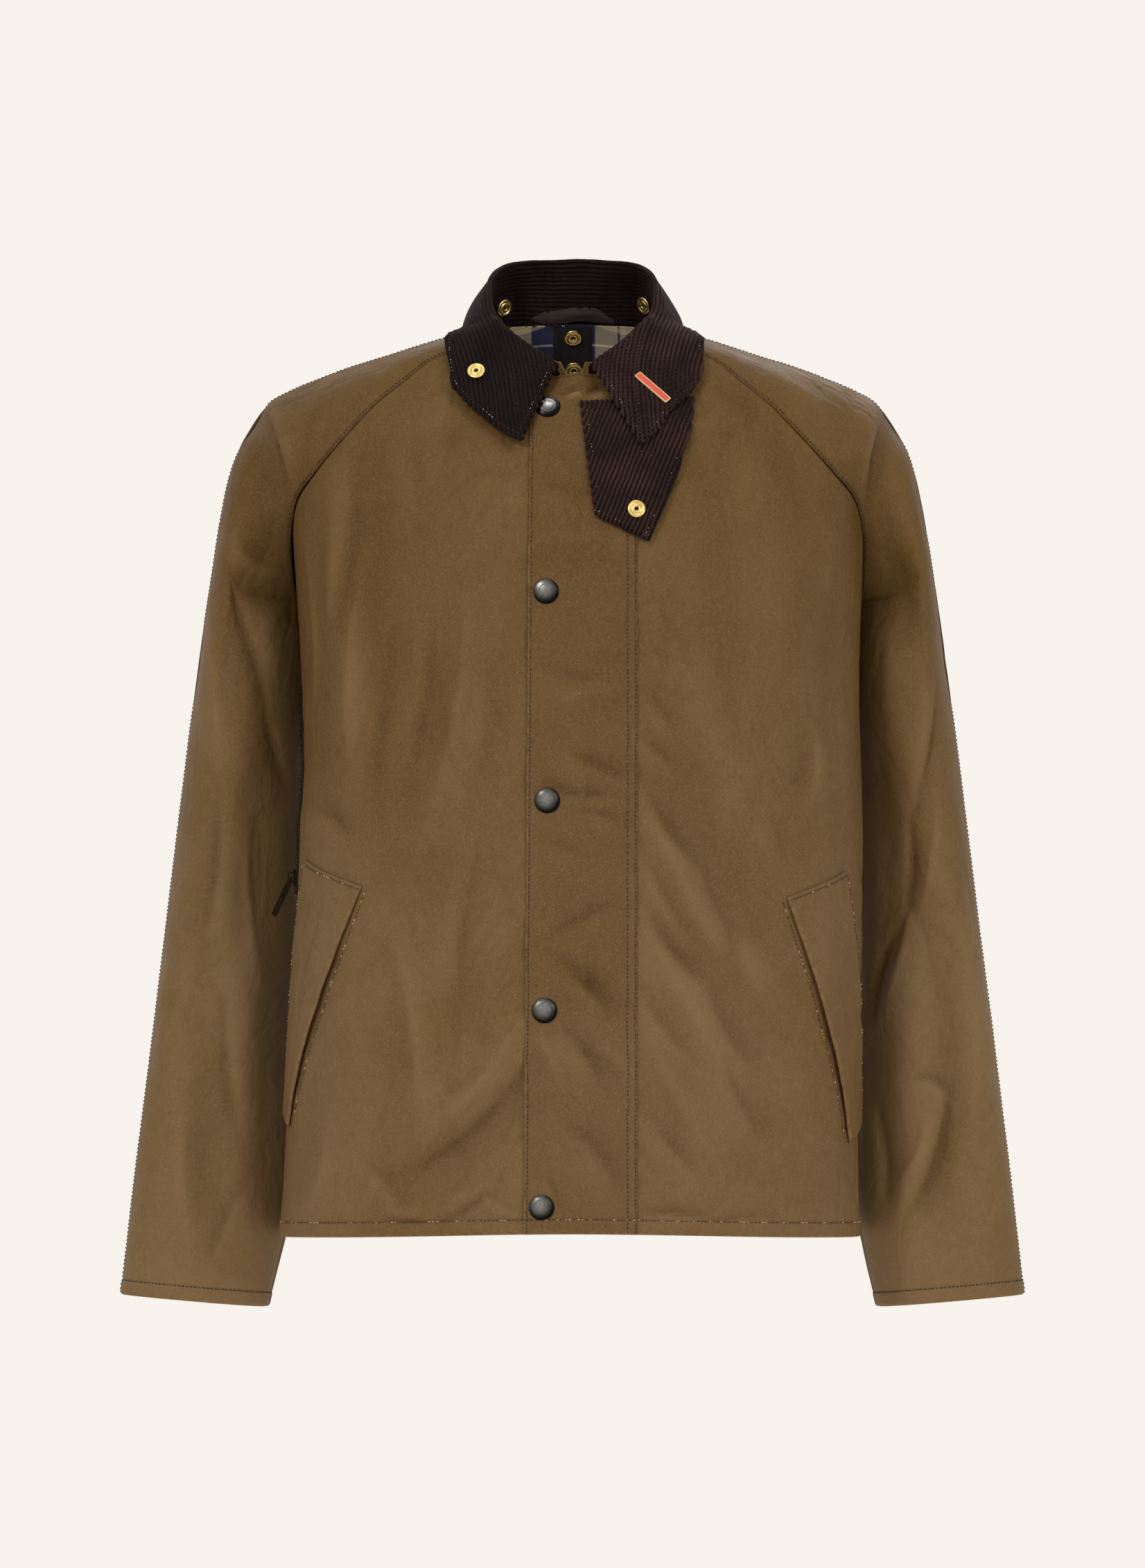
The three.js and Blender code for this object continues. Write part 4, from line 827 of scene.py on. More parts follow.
# Points of a surface, to lay things on it or keep them clear of it
class Surface:
    def __init__(self, *panels):
        self.points = np.concatenate([p.grid.reshape(-1, 3) for p in panels])
        self.normals = np.concatenate([p.normals.reshape(-1, 3) for p in panels])
        self.flat = None
        self.tree = tree_of(self.points)

    # Moves points out until they are `clear` above the surface, where they are near it
    def push(self, points, clear):
        flat = points.reshape(-1, 3).copy()
        clear = np.broadcast_to(clear, points.shape[:-1]).reshape(-1)
        for k, p in enumerate(flat):
            _, n, away = self.tree.find(p)
            height = float(np.dot(p - self.points[n], self.normals[n]))
            if height < clear[k] and away < NEAR:
                flat[k] = p + self.normals[n] * (clear[k] - height)
        return flat.reshape(points.shape)

    # The surface's places and normals at given x and z
    def at(self, x, z):
        if self.flat is None:
            self.flat = tree_of(self.points * (1, 0, 1))
        x, z = np.broadcast_arrays(x, z)
        made, upright = np.empty((x.size, 3)), np.empty((x.size, 3))
        for k, (px, pz) in enumerate(zip(x.ravel(), z.ravel())):
            found = self.flat.find_n((px, 0, pz), 6)
            index = [f[1] for f in found]
            weights = 1 / (np.array([f[2] for f in found]) + 0.4) ** 2
            weights /= weights.sum()
            made[k] = px, weights @ self.points[index, 1], pz
            upright[k] = unit(weights @ self.normals[index])
        return made.reshape(x.shape + (3,)), upright.reshape(x.shape + (3,))

    # The surface's place and normal nearest to each point
    def under(self, points):
        flat = points.reshape(-1, 3)
        made, upright = np.empty_like(flat), np.empty_like(flat)
        for k, p in enumerate(flat):
            found = self.tree.find_n(p, 8)
            index = [f[1] for f in found]
            near = found[0][2]
            weights = np.exp(-((np.array([f[2] for f in found]) - near) / BLEND_REACH) ** 2)
            normal = unit(weights @ self.normals[index])
            heights = (p - self.points[index]) @ normal
            made[k] = p - normal * float(weights @ heights / weights.sum())
            upright[k] = normal
        return made.reshape(points.shape), upright.reshape(points.shape)


# Fine creases where a slanting noise crosses zero, in the places that a second noise allows
def crumple(grid, seed, slant, size):
    turned = grid @ np.array([
        [math.cos(slant), 0, math.sin(slant)],
        [0, 1, 0],
        [-math.sin(slant), 0, math.cos(slant)],
    ])
    lines = soft_noise(turned, size, 3.0, seed)
    where = clamp01(soft_noise(grid, 90, 1.3, seed + 4) * 3 + 0.25)
    return -clamp01(1 - np.abs(lines) / 0.16) ** 1.5 * where


# Undulation that no table lists, stronger away from the seams
def restless(panel, seed, size=46, depth=0.8, slant=0.5, free=1.0, creased=1.2):
    edge = np.minimum(np.minimum(panel.left, panel.right), np.minimum(panel.bottom, panel.top))
    calm = 0.25 + 0.75 * ease(edge / 25)
    wide = soft_noise(panel.grid, size, 2.2, seed)
    small = soft_noise(panel.grid, size * 0.36, 1.5, seed + 9)
    fine = crumple(panel.grid, seed + 20, slant, 22)
    fine += 0.6 * crumple(panel.grid, seed + 30, -slant * 1.4, 13)
    panel.move((wide * depth + small * depth * 0.4 + fine * creased) * calm * free, 0.8)


# How free the cloth is to crease, which it isn't under a stud
def free_cloth(x, z):
    free = np.ones(np.shape(x))
    for stud in rows_of(STUDS):
        away = np.hypot(x - stud["x"], z - stud["z"])
        free *= 1 - np.exp(-((away / STUD_STIFF) ** 4))
    return free


# Moves a panel of the body by its folds and creases
def fold_panel(panel, folds, creases, seed, slant):
    x, z = panel.grid[..., 0], panel.grid[..., 2]
    free = free_cloth(x, z) if folds is FRONT_FOLDS else 1.0
    panel.move(fold_depth(folds, x, z), 0.2)
    for set_of in creases:
        panel.move(crease_depth(set_of, x, z) * free, 1)
    restless(panel, seed, slant=slant, free=free, creased=0.35 if folds is BACK_FOLDS else 1.0)


# The panel with its normals and distances worked out again
def refresh(panel):
    fresh = Panel(panel.grid, panel.turn)
    fresh.relief = panel.relief
    return fresh


# A panel whose normals point the same way as the given ones
def panel_facing(grid, normals):
    panel = Panel(grid, 1)
    return panel if np.sum(panel.normals * normals) > 0 else Panel(grid, -1)


def hem_shape(distance):
    turned = HEM_RAISE * (1 - ease((distance - HEM_BAND + 0.6) / 1.4))
    return turned - 0.45 * bump(distance, HEM_BAND, 0.8) - 0.8 * bump(distance, 0, 0.8)


# Finishes a panel's borders, and marks where its cloth puckers, and where it meets other pieces and where
# rows of stitches run, which the material darkens as painted shade. `puckers` has the borders, each with how
# far in the cloth is pulled
def finish_edges(panel, kind, puckers=(), joints=()):
    panel = refresh(panel)
    rows = []
    for border, edge in EDGES[kind].items():
        away = getattr(panel, border)
        if edge == HEM:
            panel.move(hem_shape(away))
            rows.append((away, HEM_BAND))
        else:
            panel.move(sewn_edge(away, *edge))
            rows += [(away, at) for at in edge[1]]
    panel.pucker = sum(bump(getattr(panel, border), at, PUCKER_MARK) for border, at in puckers)
    shade = sum(bump(getattr(panel, border), 0, JOINT_MARK) for border in joints)
    panel.seam = clamp01(shade + sum(0.5 * bump(away, at, ROW_MARK) for away, at in rows))
    return panel


# Painted light: lightens the cloth beside the gap between body and sleeve, where it lies in shade, through
# the relief that the colour follows
def painted_light_beside_gap(away, z, width, strength):
    return strength * bump(away, 0, width) * ease((ARMPIT_Z - z) / PAINTED_LIGHT_FADE)


# The columns of a front that `c` names, folded and creased
def front_panel(side, c, seed):
    panel = Panel(torso_grid(side, "front", TORSO_T, c), side)
    fold_panel(panel, FRONT_FOLDS, (FRONT_CREASES, FLAP_CREASES), seed, -0.45 * side)
    return panel


def dress_front(panel):
    panel = finish_edges(panel, "front", (("right", 0), ("bottom", HEM_BAND)), ("right", "top"))
    # Painted light beside the gap to the sleeve
    panel.relief = panel.relief + painted_light_beside_gap(panel.right, panel.grid[..., 2], *FRONT_PAINTED_LIGHT)
    return panel


def whole_front(side, seed):
    c = np.concatenate([places(FLAP_HALF, SEAM_STEPS)[:-1] - 1, places(FRONT_WIDTH, (), SEAM_STEPS)])
    return front_panel(side, c, seed)


def whole_back():
    half = places(BACK_HALF, (), SEAM_STEPS, BACK_STEP)
    c = np.concatenate([-half[::-1], half[1:]])
    c[len(half) - 1] = -1e-9
    panel = Panel(torso_grid(-1, "back", TORSO_T, c), -1)
    fold_panel(panel, BACK_FOLDS, (BACK_CREASES,), SEEDS["back"], 0.3)
    return panel


# Half a sleeve, kept clear of the body
def whole_sleeve(side, half, body, seed):
    controls = [p[:, None, :] for p in sleeve_controls(side, half, ARM_T)]
    step = STEP if half == "front" else SLEEVE_BACK_STEP
    share = places(SLEEVE_WIDTH, SEAM_STEPS, SEAM_STEPS, step)
    grid = bezier(controls, np.broadcast_to(share, (len(ARM_T), len(share))))
    low = ARM_T < 0
    clear = mix(0.5, ARM_CLEARANCE, clamp01((ARMPIT_Z - 120 - grid[..., 2]) / 160))
    grid[low] = body.push(grid[low], clear[low])
    if half == "front":
        panel, folds = Panel(grid, side), SLEEVE_FRONT_FOLDS
        creases = RIGHT_SLEEVE_CREASES if side < 0 else LEFT_SLEEVE_CREASES
    else:
        panel, folds, creases = Panel(grid, -side), SLEEVE_BACK_FOLDS, SLEEVE_BACK_CREASES
    x, z = np.abs(grid[..., 0]), grid[..., 2]
    ramp = clamp01(panel.left / 32)
    panel.move(fold_depth(folds, x, z) * ramp, 0.15)
    panel.move(crease_depth(creases, x, z) * np.maximum(ramp, 0.3), 1)
    # Painted light beside the gap to the body
    panel.relief = panel.relief + painted_light_beside_gap(panel.left, z, *SLEEVE_PAINTED_LIGHT)
    restless(panel, seed, 40, 1.0, -0.5 * side, creased=0.7)
    return panel


def dress_sleeve(panel):
    return finish_edges(panel, "sleeve", SIDES_AND_HEM, ("left", "right"))


# Meshes
def make_object(name, verts, faces, materials, slots=None, smooth=True):
    mesh = bpy.data.meshes.new(name)
    mesh.from_pydata((np.asarray(verts) * MM).tolist(), [], faces)
    for m in materials:
        mesh.materials.append(m)
    if slots is not None:
        mesh.polygons.foreach_set("material_index", np.asarray(slots, dtype=np.int32))
    mesh.polygons.foreach_set("use_smooth", np.full(len(mesh.polygons), smooth))
    mesh.update()
    made = bpy.data.objects.new(name, mesh)
    bpy.context.scene.collection.objects.link(made)
    return made


# A value at each point, which the material reads by its name
def add_values(made, name, values):
    layer = made.data.attributes.new(name, "FLOAT", "POINT")
    layer.data.foreach_set("value", np.asarray(values, dtype=np.float32))


def add_uv(made, uv):
    layer = made.data.uv_layers.new(name="cloth")
    loops = np.empty(len(made.data.loops), dtype=np.int32)
    made.data.loops.foreach_get("vertex_index", loops)
    layer.data.foreach_set("uv", (np.asarray(uv)[loops]).astype(np.float32).ravel())


# The points round a grid's border, in order
def border_of(grid):
    return np.concatenate([grid[0, :-1], grid[:-1, -1], grid[-1, :0:-1], grid[:0:-1, 0]])


# A closed shell of cloth: its outside, its inside, and a rounded edge between them
def shell(name, panel, thickness, outside, inside, values=None, uv=None, inner=None):
    outer = panel.grid
    rows, columns = outer.shape[:2]
    if inner is None:
        inner = outer - panel.normals * thickness
    rim_out, rim_in = border_of(outer), border_of(inner)
    outwards = unit(rim_out - border_of(neighbour(outer)))
    rim = (rim_out + rim_in) / 2 + outwards * thickness * RIM_BULGE
    verts = np.concatenate([outer.reshape(-1, 3), inner.reshape(-1, 3), rim])
    index = np.arange(rows * columns).reshape(rows, columns)
    a, b = index[:-1, :-1].ravel(), index[:-1, 1:].ravel()
    c, d = index[1:, 1:].ravel(), index[1:, :-1].ravel()
    count = rows * columns
    facing = np.cross(outer[0, 1] - outer[0, 0], outer[1, 0] - outer[0, 0]) @ panel.normals[0, 0] > 0
    out_faces = np.stack([a, b, c, d] if facing else [d, c, b, a], 1)
    in_faces = out_faces[:, ::-1] + count
    loop_out = border_of(index[..., None])[:, 0]
    loop_rim = 2 * count + np.arange(len(loop_out))
    following = np.roll(loop_out, -1)
    rim_next = np.roll(loop_rim, -1)
    first = np.stack([following, loop_out, loop_rim, rim_next], 1)
    second = np.stack([rim_next, loop_rim, loop_out + count, following + count], 1)
    sides = np.concatenate([first, second])
    if not facing:
        sides = sides[:, ::-1]
    faces = np.concatenate([out_faces, in_faces, sides])
    slots = np.concatenate([np.zeros(len(out_faces)), np.ones(len(in_faces)), np.zeros(len(sides))])
    made = make_object(name, verts, faces.tolist(), [outside, inside], slots)
    if uv is None:
        uv = np.stack([panel.left, panel.bottom], -1) * MM
    flat = uv.reshape(-1, 2)
    add_uv(made, np.concatenate([flat, flat, border_of(uv)]))
    for key, value in (values or {}).items():
        one = np.broadcast_to(value, outer.shape[:2])
        add_values(made, key, np.concatenate([one.ravel(), one.ravel(), border_of(one[..., None])[:, 0]]))
    return made


# Each border point's neighbour one step further in
def neighbour(grid):
    near = grid.copy()
    near[:, 0], near[:, -1] = grid[:, 1], grid[:, -2]
    near[0], near[-1] = grid[1], grid[-2]
    return near


# Places on the cloth from its middle line, which the weave and the check follow
def centred_uv(panel):
    middle = panel.grid.shape[1] // 2
    return np.stack([panel.left - panel.left[:, middle : middle + 1], panel.bottom], -1) * MM


# Attaches a cloth piece to the jacket, and hides the part that it replaces
def declare(made, replaces=None):
    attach(made, "jacket")
    if replaces:
        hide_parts(replaces)


# Rows of stitches, each a small spindle that sinks into the cloth at both ends
def sew(name, lines, look, pitch=PITCH, length=STITCH, width=THREAD, lift=0.16, spread=0.0):
    verts, faces = [], []
    ring = STITCH_SIDES
    rng = np.random.default_rng(len(name) * 7 + len(lines))
    for points, normals in lines:
        steps = np.linalg.norm(np.diff(points, axis=0), axis=1)
        at = np.concatenate([[0], np.cumsum(steps)])
        count = int(at[-1] / pitch)
        for k in range(count):
            middle = (k + 0.5) * pitch + rng.uniform(-0.12, 0.12) * pitch
            half = length / 2 * (1 + rng.uniform(-spread, spread))
            ends = [[np.interp(middle + s * half, at, points[:, j]) for j in range(3)] for s in (-1, 1)]
            normal = unit(np.array([np.interp(middle, at, normals[:, j]) for j in range(3)]))
            a, b = np.array(ends)
            along = unit(b - a)
            side = np.cross(normal, along)
            base = len(verts)
            verts.append(a - normal * STITCH_SINK)
            for share in (0.22, 0.78):
                for i in range(ring):
                    turn = 2 * math.pi * i / ring
                    off = side * math.cos(turn) * width / 2
                    off = off + normal * (math.sin(turn) * width / 2 + lift)
                    verts.append(mix(a, b, share) + off)
            verts.append(b - normal * STITCH_SINK)
            last = base + 2 * ring + 1
            for i in range(ring):
                j = (i + 1) % ring
                faces.append([base, base + 1 + j, base + 1 + i])
                faces.append([base + 1 + i, base + 1 + j, base + 1 + ring + j, base + 1 + ring + i])
                faces.append([last, base + 1 + ring + i, base + 1 + ring + j])
    made = make_object(name, verts, faces, [look])
    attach(made, "jacket")
    return made


# Materials, with scales per metre and bump distances in metres
def linear(r, g, b):
    def one(c):
        c /= 255
        return c / 12.92 if c <= 0.04045 else ((c + 0.055) / 1.055) ** 2.4

    return one(r), one(g), one(b), 1.0


# A material under construction. The methods make nodes and give back their sockets
class Finish:
    def __init__(self, name, **values):
        self.material = bpy.data.materials.new(name)
        self.material.use_nodes = True
        self.nodes = self.material.node_tree.nodes
        self.links = self.material.node_tree.links
        self.shader = self.nodes["Principled BSDF"]
        for socket, value in values.items():
            self.shader.inputs[socket.replace("_", " ")].default_value = value

    def node(self, kind, inputs=None, **settings):
        made = self.nodes.new("ShaderNode" + kind)
        for key, value in settings.items():
            setattr(made, key, value)
        for key, value in (inputs or {}).items():
            if isinstance(value, bpy.types.NodeSocket):
                self.links.new(value, made.inputs[key])
            else:
                made.inputs[key].default_value = value
        return made

    # Links a value to one of the shader's own inputs
    def set(self, socket, value):
        self.links.new(value, self.shader.inputs[socket])

    def place(self, kind="Object"):
        return self.node("TexCoord").outputs[kind]

    def value(self, name):
        return self.node("Attribute", attribute_name=name).outputs["Fac"]

    def noise(self, vector, scale, detail=2.0, rough=0.5, distortion=0.0):
        inputs = {"Vector": vector, "Scale": scale, "Detail": detail}
        inputs.update({"Roughness": rough, "Distortion": distortion})
        return self.node("TexNoise", inputs).outputs["Fac"]

    def math(self, operation, a, b=0.0, c=0.0):
        return self.node("Math", {0: a, 1: b, 2: c}, operation=operation).outputs[0]

    def fit(self, value, low, high, to_low=0.0, to_high=1.0):
        inputs = {"Value": value, "From Min": low, "From Max": high, "To Min": to_low, "To Max": to_high}
        return self.node("MapRange", inputs, clamp=True).outputs[0]

    # Colours are given as 8-bit sRGB, or else as sockets or four linear values
    def blend(self, factor, a, b, kind="MIX"):
        a, b = (linear(*c) if isinstance(c, tuple) and len(c) == 3 else c for c in (a, b))
        return self.node("Mix", {0: factor, 6: a, 7: b}, data_type="RGBA", blend_type=kind).outputs[2]

    def stretch(self, vector, scale):
        return self.node("Mapping", {"Vector": vector, "Scale": scale}).outputs["Vector"]

    def parts(self, vector):
        return self.node("SeparateXYZ", {"Vector": vector}).outputs

    def bump(self, height, distance, strength=1.0, before=None):
        inputs = {"Height": height, "Distance": distance, "Strength": strength}
        if before is not None:
            inputs["Normal"] = before
        return self.node("Bump", inputs).outputs["Normal"]

    # Threads of a plain weave, from a height of 0 to 1
    def weave(self, uv, pitch):
        parts = self.parts(uv)
        waves = []
        for k in (0, 1):
            turn = self.math("MULTIPLY", parts[k], 2 * math.pi / pitch)
            waves.append(self.math("SINE", turn))
        both = self.math("MULTIPLY", waves[0], waves[1])
        return self.math("MULTIPLY_ADD", both, 0.5, 0.5)


def waxed_cotton():
    f = Finish("waxed_cotton", Specular_IOR_Level=0.13, Sheen_Weight=0.01, Sheen_Roughness=0.5)
    f.shader.inputs["Sheen Tint"].default_value = linear(190, 170, 130)
    spot, uv = f.place(), f.place("UV")
    seen = f.parts(spot)
    # Painted sheen: broad patches that blend each pair of tones from brown to greyer
    painted_sheen_patches = f.fit(f.noise(spot, 7.5, 3, 0.55, 0.6), 0.4, 0.6)
    low, chest, outer = (f.blend(painted_sheen_patches, *WAX_TONES[name]) for name in ("low", "chest", "outer"))
    far = f.fit(f.math("ABSOLUTE", seen[0]), 0.2, 0.25)
    base = f.blend(f.fit(seen[2], -0.5, -0.1), f.blend(far, low, outer), chest)
    streaky = f.noise(f.stretch(spot, (26, 26, 8)), 1, 4, 0.6, 0.4)
    blotches = f.noise(spot, 130, 4, 0.65)
    grain = f.noise(f.stretch(uv, (1500, 1100, 1)), 1, 2, 0.7)
    dust = f.noise(spot, 420, 3, 0.7)
    relief = f.value("relief")
    worn = f.math("MULTIPLY", f.value("edge"), f.fit(f.noise(spot, 240, 3), 0.42, 0.62))
    specks = f.node("TexVoronoi", {"Vector": spot, "Scale": 330, "Randomness": 1.0}, feature="F1")
    rare = f.fit(f.noise(spot, 75, 1), 0.6, 0.64)
    speck = f.math("MULTIPLY", f.fit(specks.outputs["Distance"], 0.16, 0.08), rare)
    layers = (
        ("streak", f.fit(streaky, 0.4, 0.72, 0, 0.5)),
        ("blotch", f.fit(blotches, 0.3, 0.7, 0, 0.22)),
        # Painted sheen on ridges and painted shade in troughs, from the relief
        ("ridge", f.fit(relief, 0.0, 3.3, 0, 0.9)),
        ("trough", f.fit(relief, 0.0, -2.6, 0, 0.7)),
        ("worn", f.math("MULTIPLY", worn, 0.55)),
        ("grain", f.fit(grain, 0.35, 0.7, 0, 0.2)),
        ("dust", f.fit(dust, 0.5, 0.72, 0, 0.22)),
        ("dirt", f.fit(dust, 0.46, 0.28, 0, 0.18)),
        ("thread", f.fit(f.noise(spot, 1500, 2, 0.6), 0.52, 0.7, 0, 0.45)),
        # Painted shade along joints, rows of stitches and crease bottoms
        ("seam", f.math("MULTIPLY", f.value("seam"), 0.62)),
        ("speck", f.math("MULTIPLY", speck, 0.28)),
    )
    for name, amount in layers:
        base = f.blend(amount, base, WAX_TONES[name])
    warm = f.fit(seen[2], -0.34, -0.06)
    base = f.blend(warm, base, f.blend(1.0, base, (0.9, 0.85, 0.69, 1), "MULTIPLY"))
    f.set("Base Color", base)
    smear = f.noise(spot, 17, 4, 0.6, 1.0)
    f.set("Roughness", f.fit(smear, 0.3, 0.7, 0.48, 0.66))
    folds = f.noise(f.stretch(spot, (24, 24, 15)), 1, 3, 0.55, 0.8)
    folds = f.math("ABSOLUTE", f.math("SUBTRACT", folds, 0.5))
    puckers = f.noise(f.stretch(spot, (120, 120, 120)), 1, 2, 0.5, 0.5)
    pucker = f.math("MULTIPLY", puckers, f.value("pucker"))
    normal = f.bump(f.fit(folds, 0, 0.12), 0.0011, 0.4)
    normal = f.bump(f.noise(spot, 42, 4, 0.6, 0.4), 0.0011, 0.4, normal)
    normal = f.bump(pucker, 0.0012, 0.5, normal)
    normal = f.bump(f.weave(uv, 0.00085), 0.00005, 0.7, normal)
    normal = f.bump(grain, 0.00005, 0.8, normal)
    f.set("Normal", normal)
    return f.material


def corduroy():
    f = Finish("corduroy", Roughness=0.85, Specular_IOR_Level=0.12, Sheen_Weight=0.1, Sheen_Roughness=0.4)
    f.shader.inputs["Sheen Tint"].default_value = linear(150, 112, 104)
    spot, uv = f.place(), f.place("UV")
    wale = f.value("wale")
    nap_sheen = f.value("nap_sheen")
    lengthways = f.noise(f.stretch(uv, (260, 1500, 1)), 1, 3, 0.6)
    tufts = f.noise(f.stretch(uv, (900, 1400, 1)), 1, 2, 0.7)
    # Painted sheen: broad patches where the pile looks shinier
    nap_sheen_patches = f.noise(spot, 34, 3, 0.6)
    # Painted light: the wales' valleys are painted nearly black as shade and their crests lighter as
    # highlight, more so where the painted nap sheen is high; the tufts' tips follow the nap sheen too
    dark = f.blend(nap_sheen, (3, 2, 2), (8, 4, 4))
    light = f.blend(nap_sheen, (26, 15, 13), (70, 44, 40))
    lift = f.math("MULTIPLY", f.math("POWER", wale, 2.8), f.fit(lengthways, 0.25, 0.75, 0.35, 1.0))
    lift = f.math("MULTIPLY", lift, f.fit(nap_sheen_patches, 0.35, 0.68, 0.3, 1.1))
    base = f.blend(lift, dark, light)
    tips = f.blend(nap_sheen, (36, 23, 21), (84, 59, 55))
    base = f.blend(f.fit(tufts, 0.55, 0.8, 0, 0.4), base, tips)
    fleck = f.node("TexVoronoi", {"Vector": spot, "Scale": 260}, feature="F1").outputs["Distance"]
    rare = f.fit(f.noise(spot, 90, 1), 0.67, 0.7)
    base = f.blend(f.math("MULTIPLY", f.fit(fleck, 0.14, 0.07), rare), base, (112, 96, 88))
    f.set("Base Color", base)
    normal = f.bump(tufts, 0.0003, 0.6)
    normal = f.bump(lengthways, 0.0003, 0.5, normal)
    f.set("Normal", normal)
    return f.material


# A check of navy and beige blocks with cream, beige and dark lines
def check_lining():
    f = Finish("check_lining", Roughness=0.85, Specular_IOR_Level=0.15, Sheen_Weight=0.1)
    uv = f.place("UV")
    parts = f.parts(uv)
    twill = f.math("MULTIPLY", f.math("ADD", parts[0], parts[1]), 5200.0)
    over = f.fit(f.math("SINE", twill), -0.5, 0.5)
    colours = []
    for k, shift in ((0, 0.31), (1, 0.06)):
        at = f.math("FRACT", f.math("ADD", f.math("DIVIDE", parts[k], CHECK_REPEAT), shift))
        shade = f.blend(f.fit(at, 0.48, 0.482), *CHECK_BLOCKS)
        for place, width, colour in CHECK_LINES:
            away = f.math("ABSOLUTE", f.math("SUBTRACT", at, place))
            shade = f.blend(f.fit(away, width, width * 0.8), shade, colour)
        colours.append(shade)
    base = f.blend(over, colours[0], colours[1])
    base = f.blend(f.fit(f.noise(uv, 1500, 2), 0.3, 0.7, 0, 0.18), base, (30, 28, 26))
    f.set("Base Color", base)
    normal = f.bump(f.math("SINE", twill), 0.00006, 0.8)
    normal = f.bump(f.noise(uv, 60, 3), 0.0008, 0.4, normal)
    f.set("Normal", normal)
    return f.material


def herringbone():
    f = Finish("black_tape", Roughness=0.8, Specular_IOR_Level=0.2, Sheen_Weight=0.15)
    uv = f.place("UV")
    parts = f.parts(uv)
    zig = f.math("PINGPONG", parts[0], 0.0035)
    slant = f.math("ADD", parts[1], f.math("MULTIPLY", zig, 1.4))
    ribs = f.math("SINE", f.math("MULTIPLY", slant, 4600.0))
    height = f.math("MULTIPLY_ADD", ribs, 0.5, 0.5)
    base = f.blend(height, (14, 13, 13), (36, 33, 33))
    base = f.blend(f.fit(f.noise(uv, 900, 3), 0.5, 0.8, 0, 0.3), base, (58, 54, 54))
    f.set("Base Color", base)
    f.set("Normal", f.bump(height, 0.00025, 0.9))
    return f.material


def woven(name, dark, light, pitch=0.0006, rough=0.8, sheen=0.2):
    f = Finish(name, Roughness=rough, Specular_IOR_Level=0.25, Sheen_Weight=sheen)
    uv, spot = f.place("UV"), f.place()
    cloth = f.weave(uv, pitch)
    base = f.blend(f.fit(f.noise(spot, 60, 4), 0.3, 0.7), dark, light)
    base = f.blend(f.fit(cloth, 0, 1, 0, 0.25), base, tuple(c * 0.6 for c in dark))
    f.set("Base Color", base)
    normal = f.bump(f.noise(spot, 120, 3), 0.0008, 0.5)
    f.set("Normal", f.bump(cloth, 0.00008, 0.8, normal))
    return f.material


def metal(name, light, dark, rough, scratch=0.12, rim=None):
    f = Finish(name, Metallic=1.0)
    spot = f.place()
    patina = f.noise(spot, 520, 3, 0.5)
    base = f.blend(f.fit(patina, 0.3, 0.75), light, dark)
    # The rim value blends towards the rim colour: on the studs it is painted shade away from a painted
    # highlight, on the rings it darkens their middles
    if rim:
        base = f.blend(f.value("rim"), base, rim)
    f.set("Base Color", base)
    f.set("Roughness", f.fit(f.noise(spot, 700, 3), 0.3, 0.7, rough - 0.07, rough + 0.09))
    f.set("Normal", f.bump(f.noise(spot, 1900, 3), 0.00003, scratch))
    return f.material


def enamel(name, light, dark):
    f = Finish(name, Roughness=0.35, Specular_IOR_Level=0.3)
    spot = f.place()
    f.set("Base Color", f.blend(f.noise(spot, 420, 3), light, dark))
    f.set("Normal", f.bump(f.noise(spot, 900, 2), 0.00003, 0.3))
    return f.material


def thread(name, dark, light, specks):
    f = Finish(name, Roughness=0.75, Specular_IOR_Level=0.25, Sheen_Weight=0.1)
    spot = f.place()
    base = f.blend(f.noise(spot, 380, 2), dark, light)
    base = f.blend(f.fit(f.noise(spot, 210, 1), 0.56, 0.6), base, specks)
    f.set("Base Color", base)
    twist = f.noise(f.stretch(spot, (2600, 2600, 2600)), 1, 1)
    f.set("Normal", f.bump(twist, 0.0001, 0.6))
    return f.material


WAX = waxed_cotton()
CORD = corduroy()
CHECK = check_lining()
TAPE_BLACK = herringbone()
ARM_LINING = woven("sleeve_lining", (52, 44, 38), (70, 60, 50), 0.0005, 0.55, 0.05)
LOOP_PLUM = woven("loop_cloth", (34, 24, 22), (50, 37, 34), sheen=0.1)
ZIP_TAPE = woven("zip_tape", (14, 12, 11), (22, 20, 18), 0.0007, 0.9, 0.0)
BRASS = metal("brass", (232, 208, 138), (204, 172, 98), 0.3, rim=(60, 40, 16))
# Its rim colour is the studs' painted shade
GUNMETAL = metal("gunmetal", (142, 140, 139), (116, 114, 114), 0.3, 0.04, rim=(20, 19, 20))
BRONZE = metal("bronze", (44, 37, 26), (16, 14, 11), 0.45, 0.3)
ENAMEL_RED = enamel("enamel_red", (196, 58, 32), (178, 46, 26))
ENAMEL_CREAM = enamel("enamel_cream", (208, 180, 128), (186, 158, 108))
THREAD_DARK = thread("thread_dark", (30, 18, 7), (46, 30, 13), (84, 62, 34))
THREAD_HEM = thread("thread_hem", (52, 34, 16), (74, 50, 28), (176, 148, 104))
THREAD_CORD = thread("thread_cord", (38, 26, 22), (62, 48, 42), (168, 156, 142))

# Body and sleeves
fronts = {"right": whole_front(-1, SEEDS["right"]), "left": whole_front(1, SEEDS["left"])}
back = whole_back()
body = Surface(fronts["right"], fronts["left"], back)
sleeves = {}
for side_name, side in (("right", -1), ("left", 1)):
    for half in ("front", "back"):
        seed = SEEDS["sleeves"] + 11 * side + (half == "back") * 5
        sleeves[side_name, half] = whole_sleeve(side, half, body, seed)


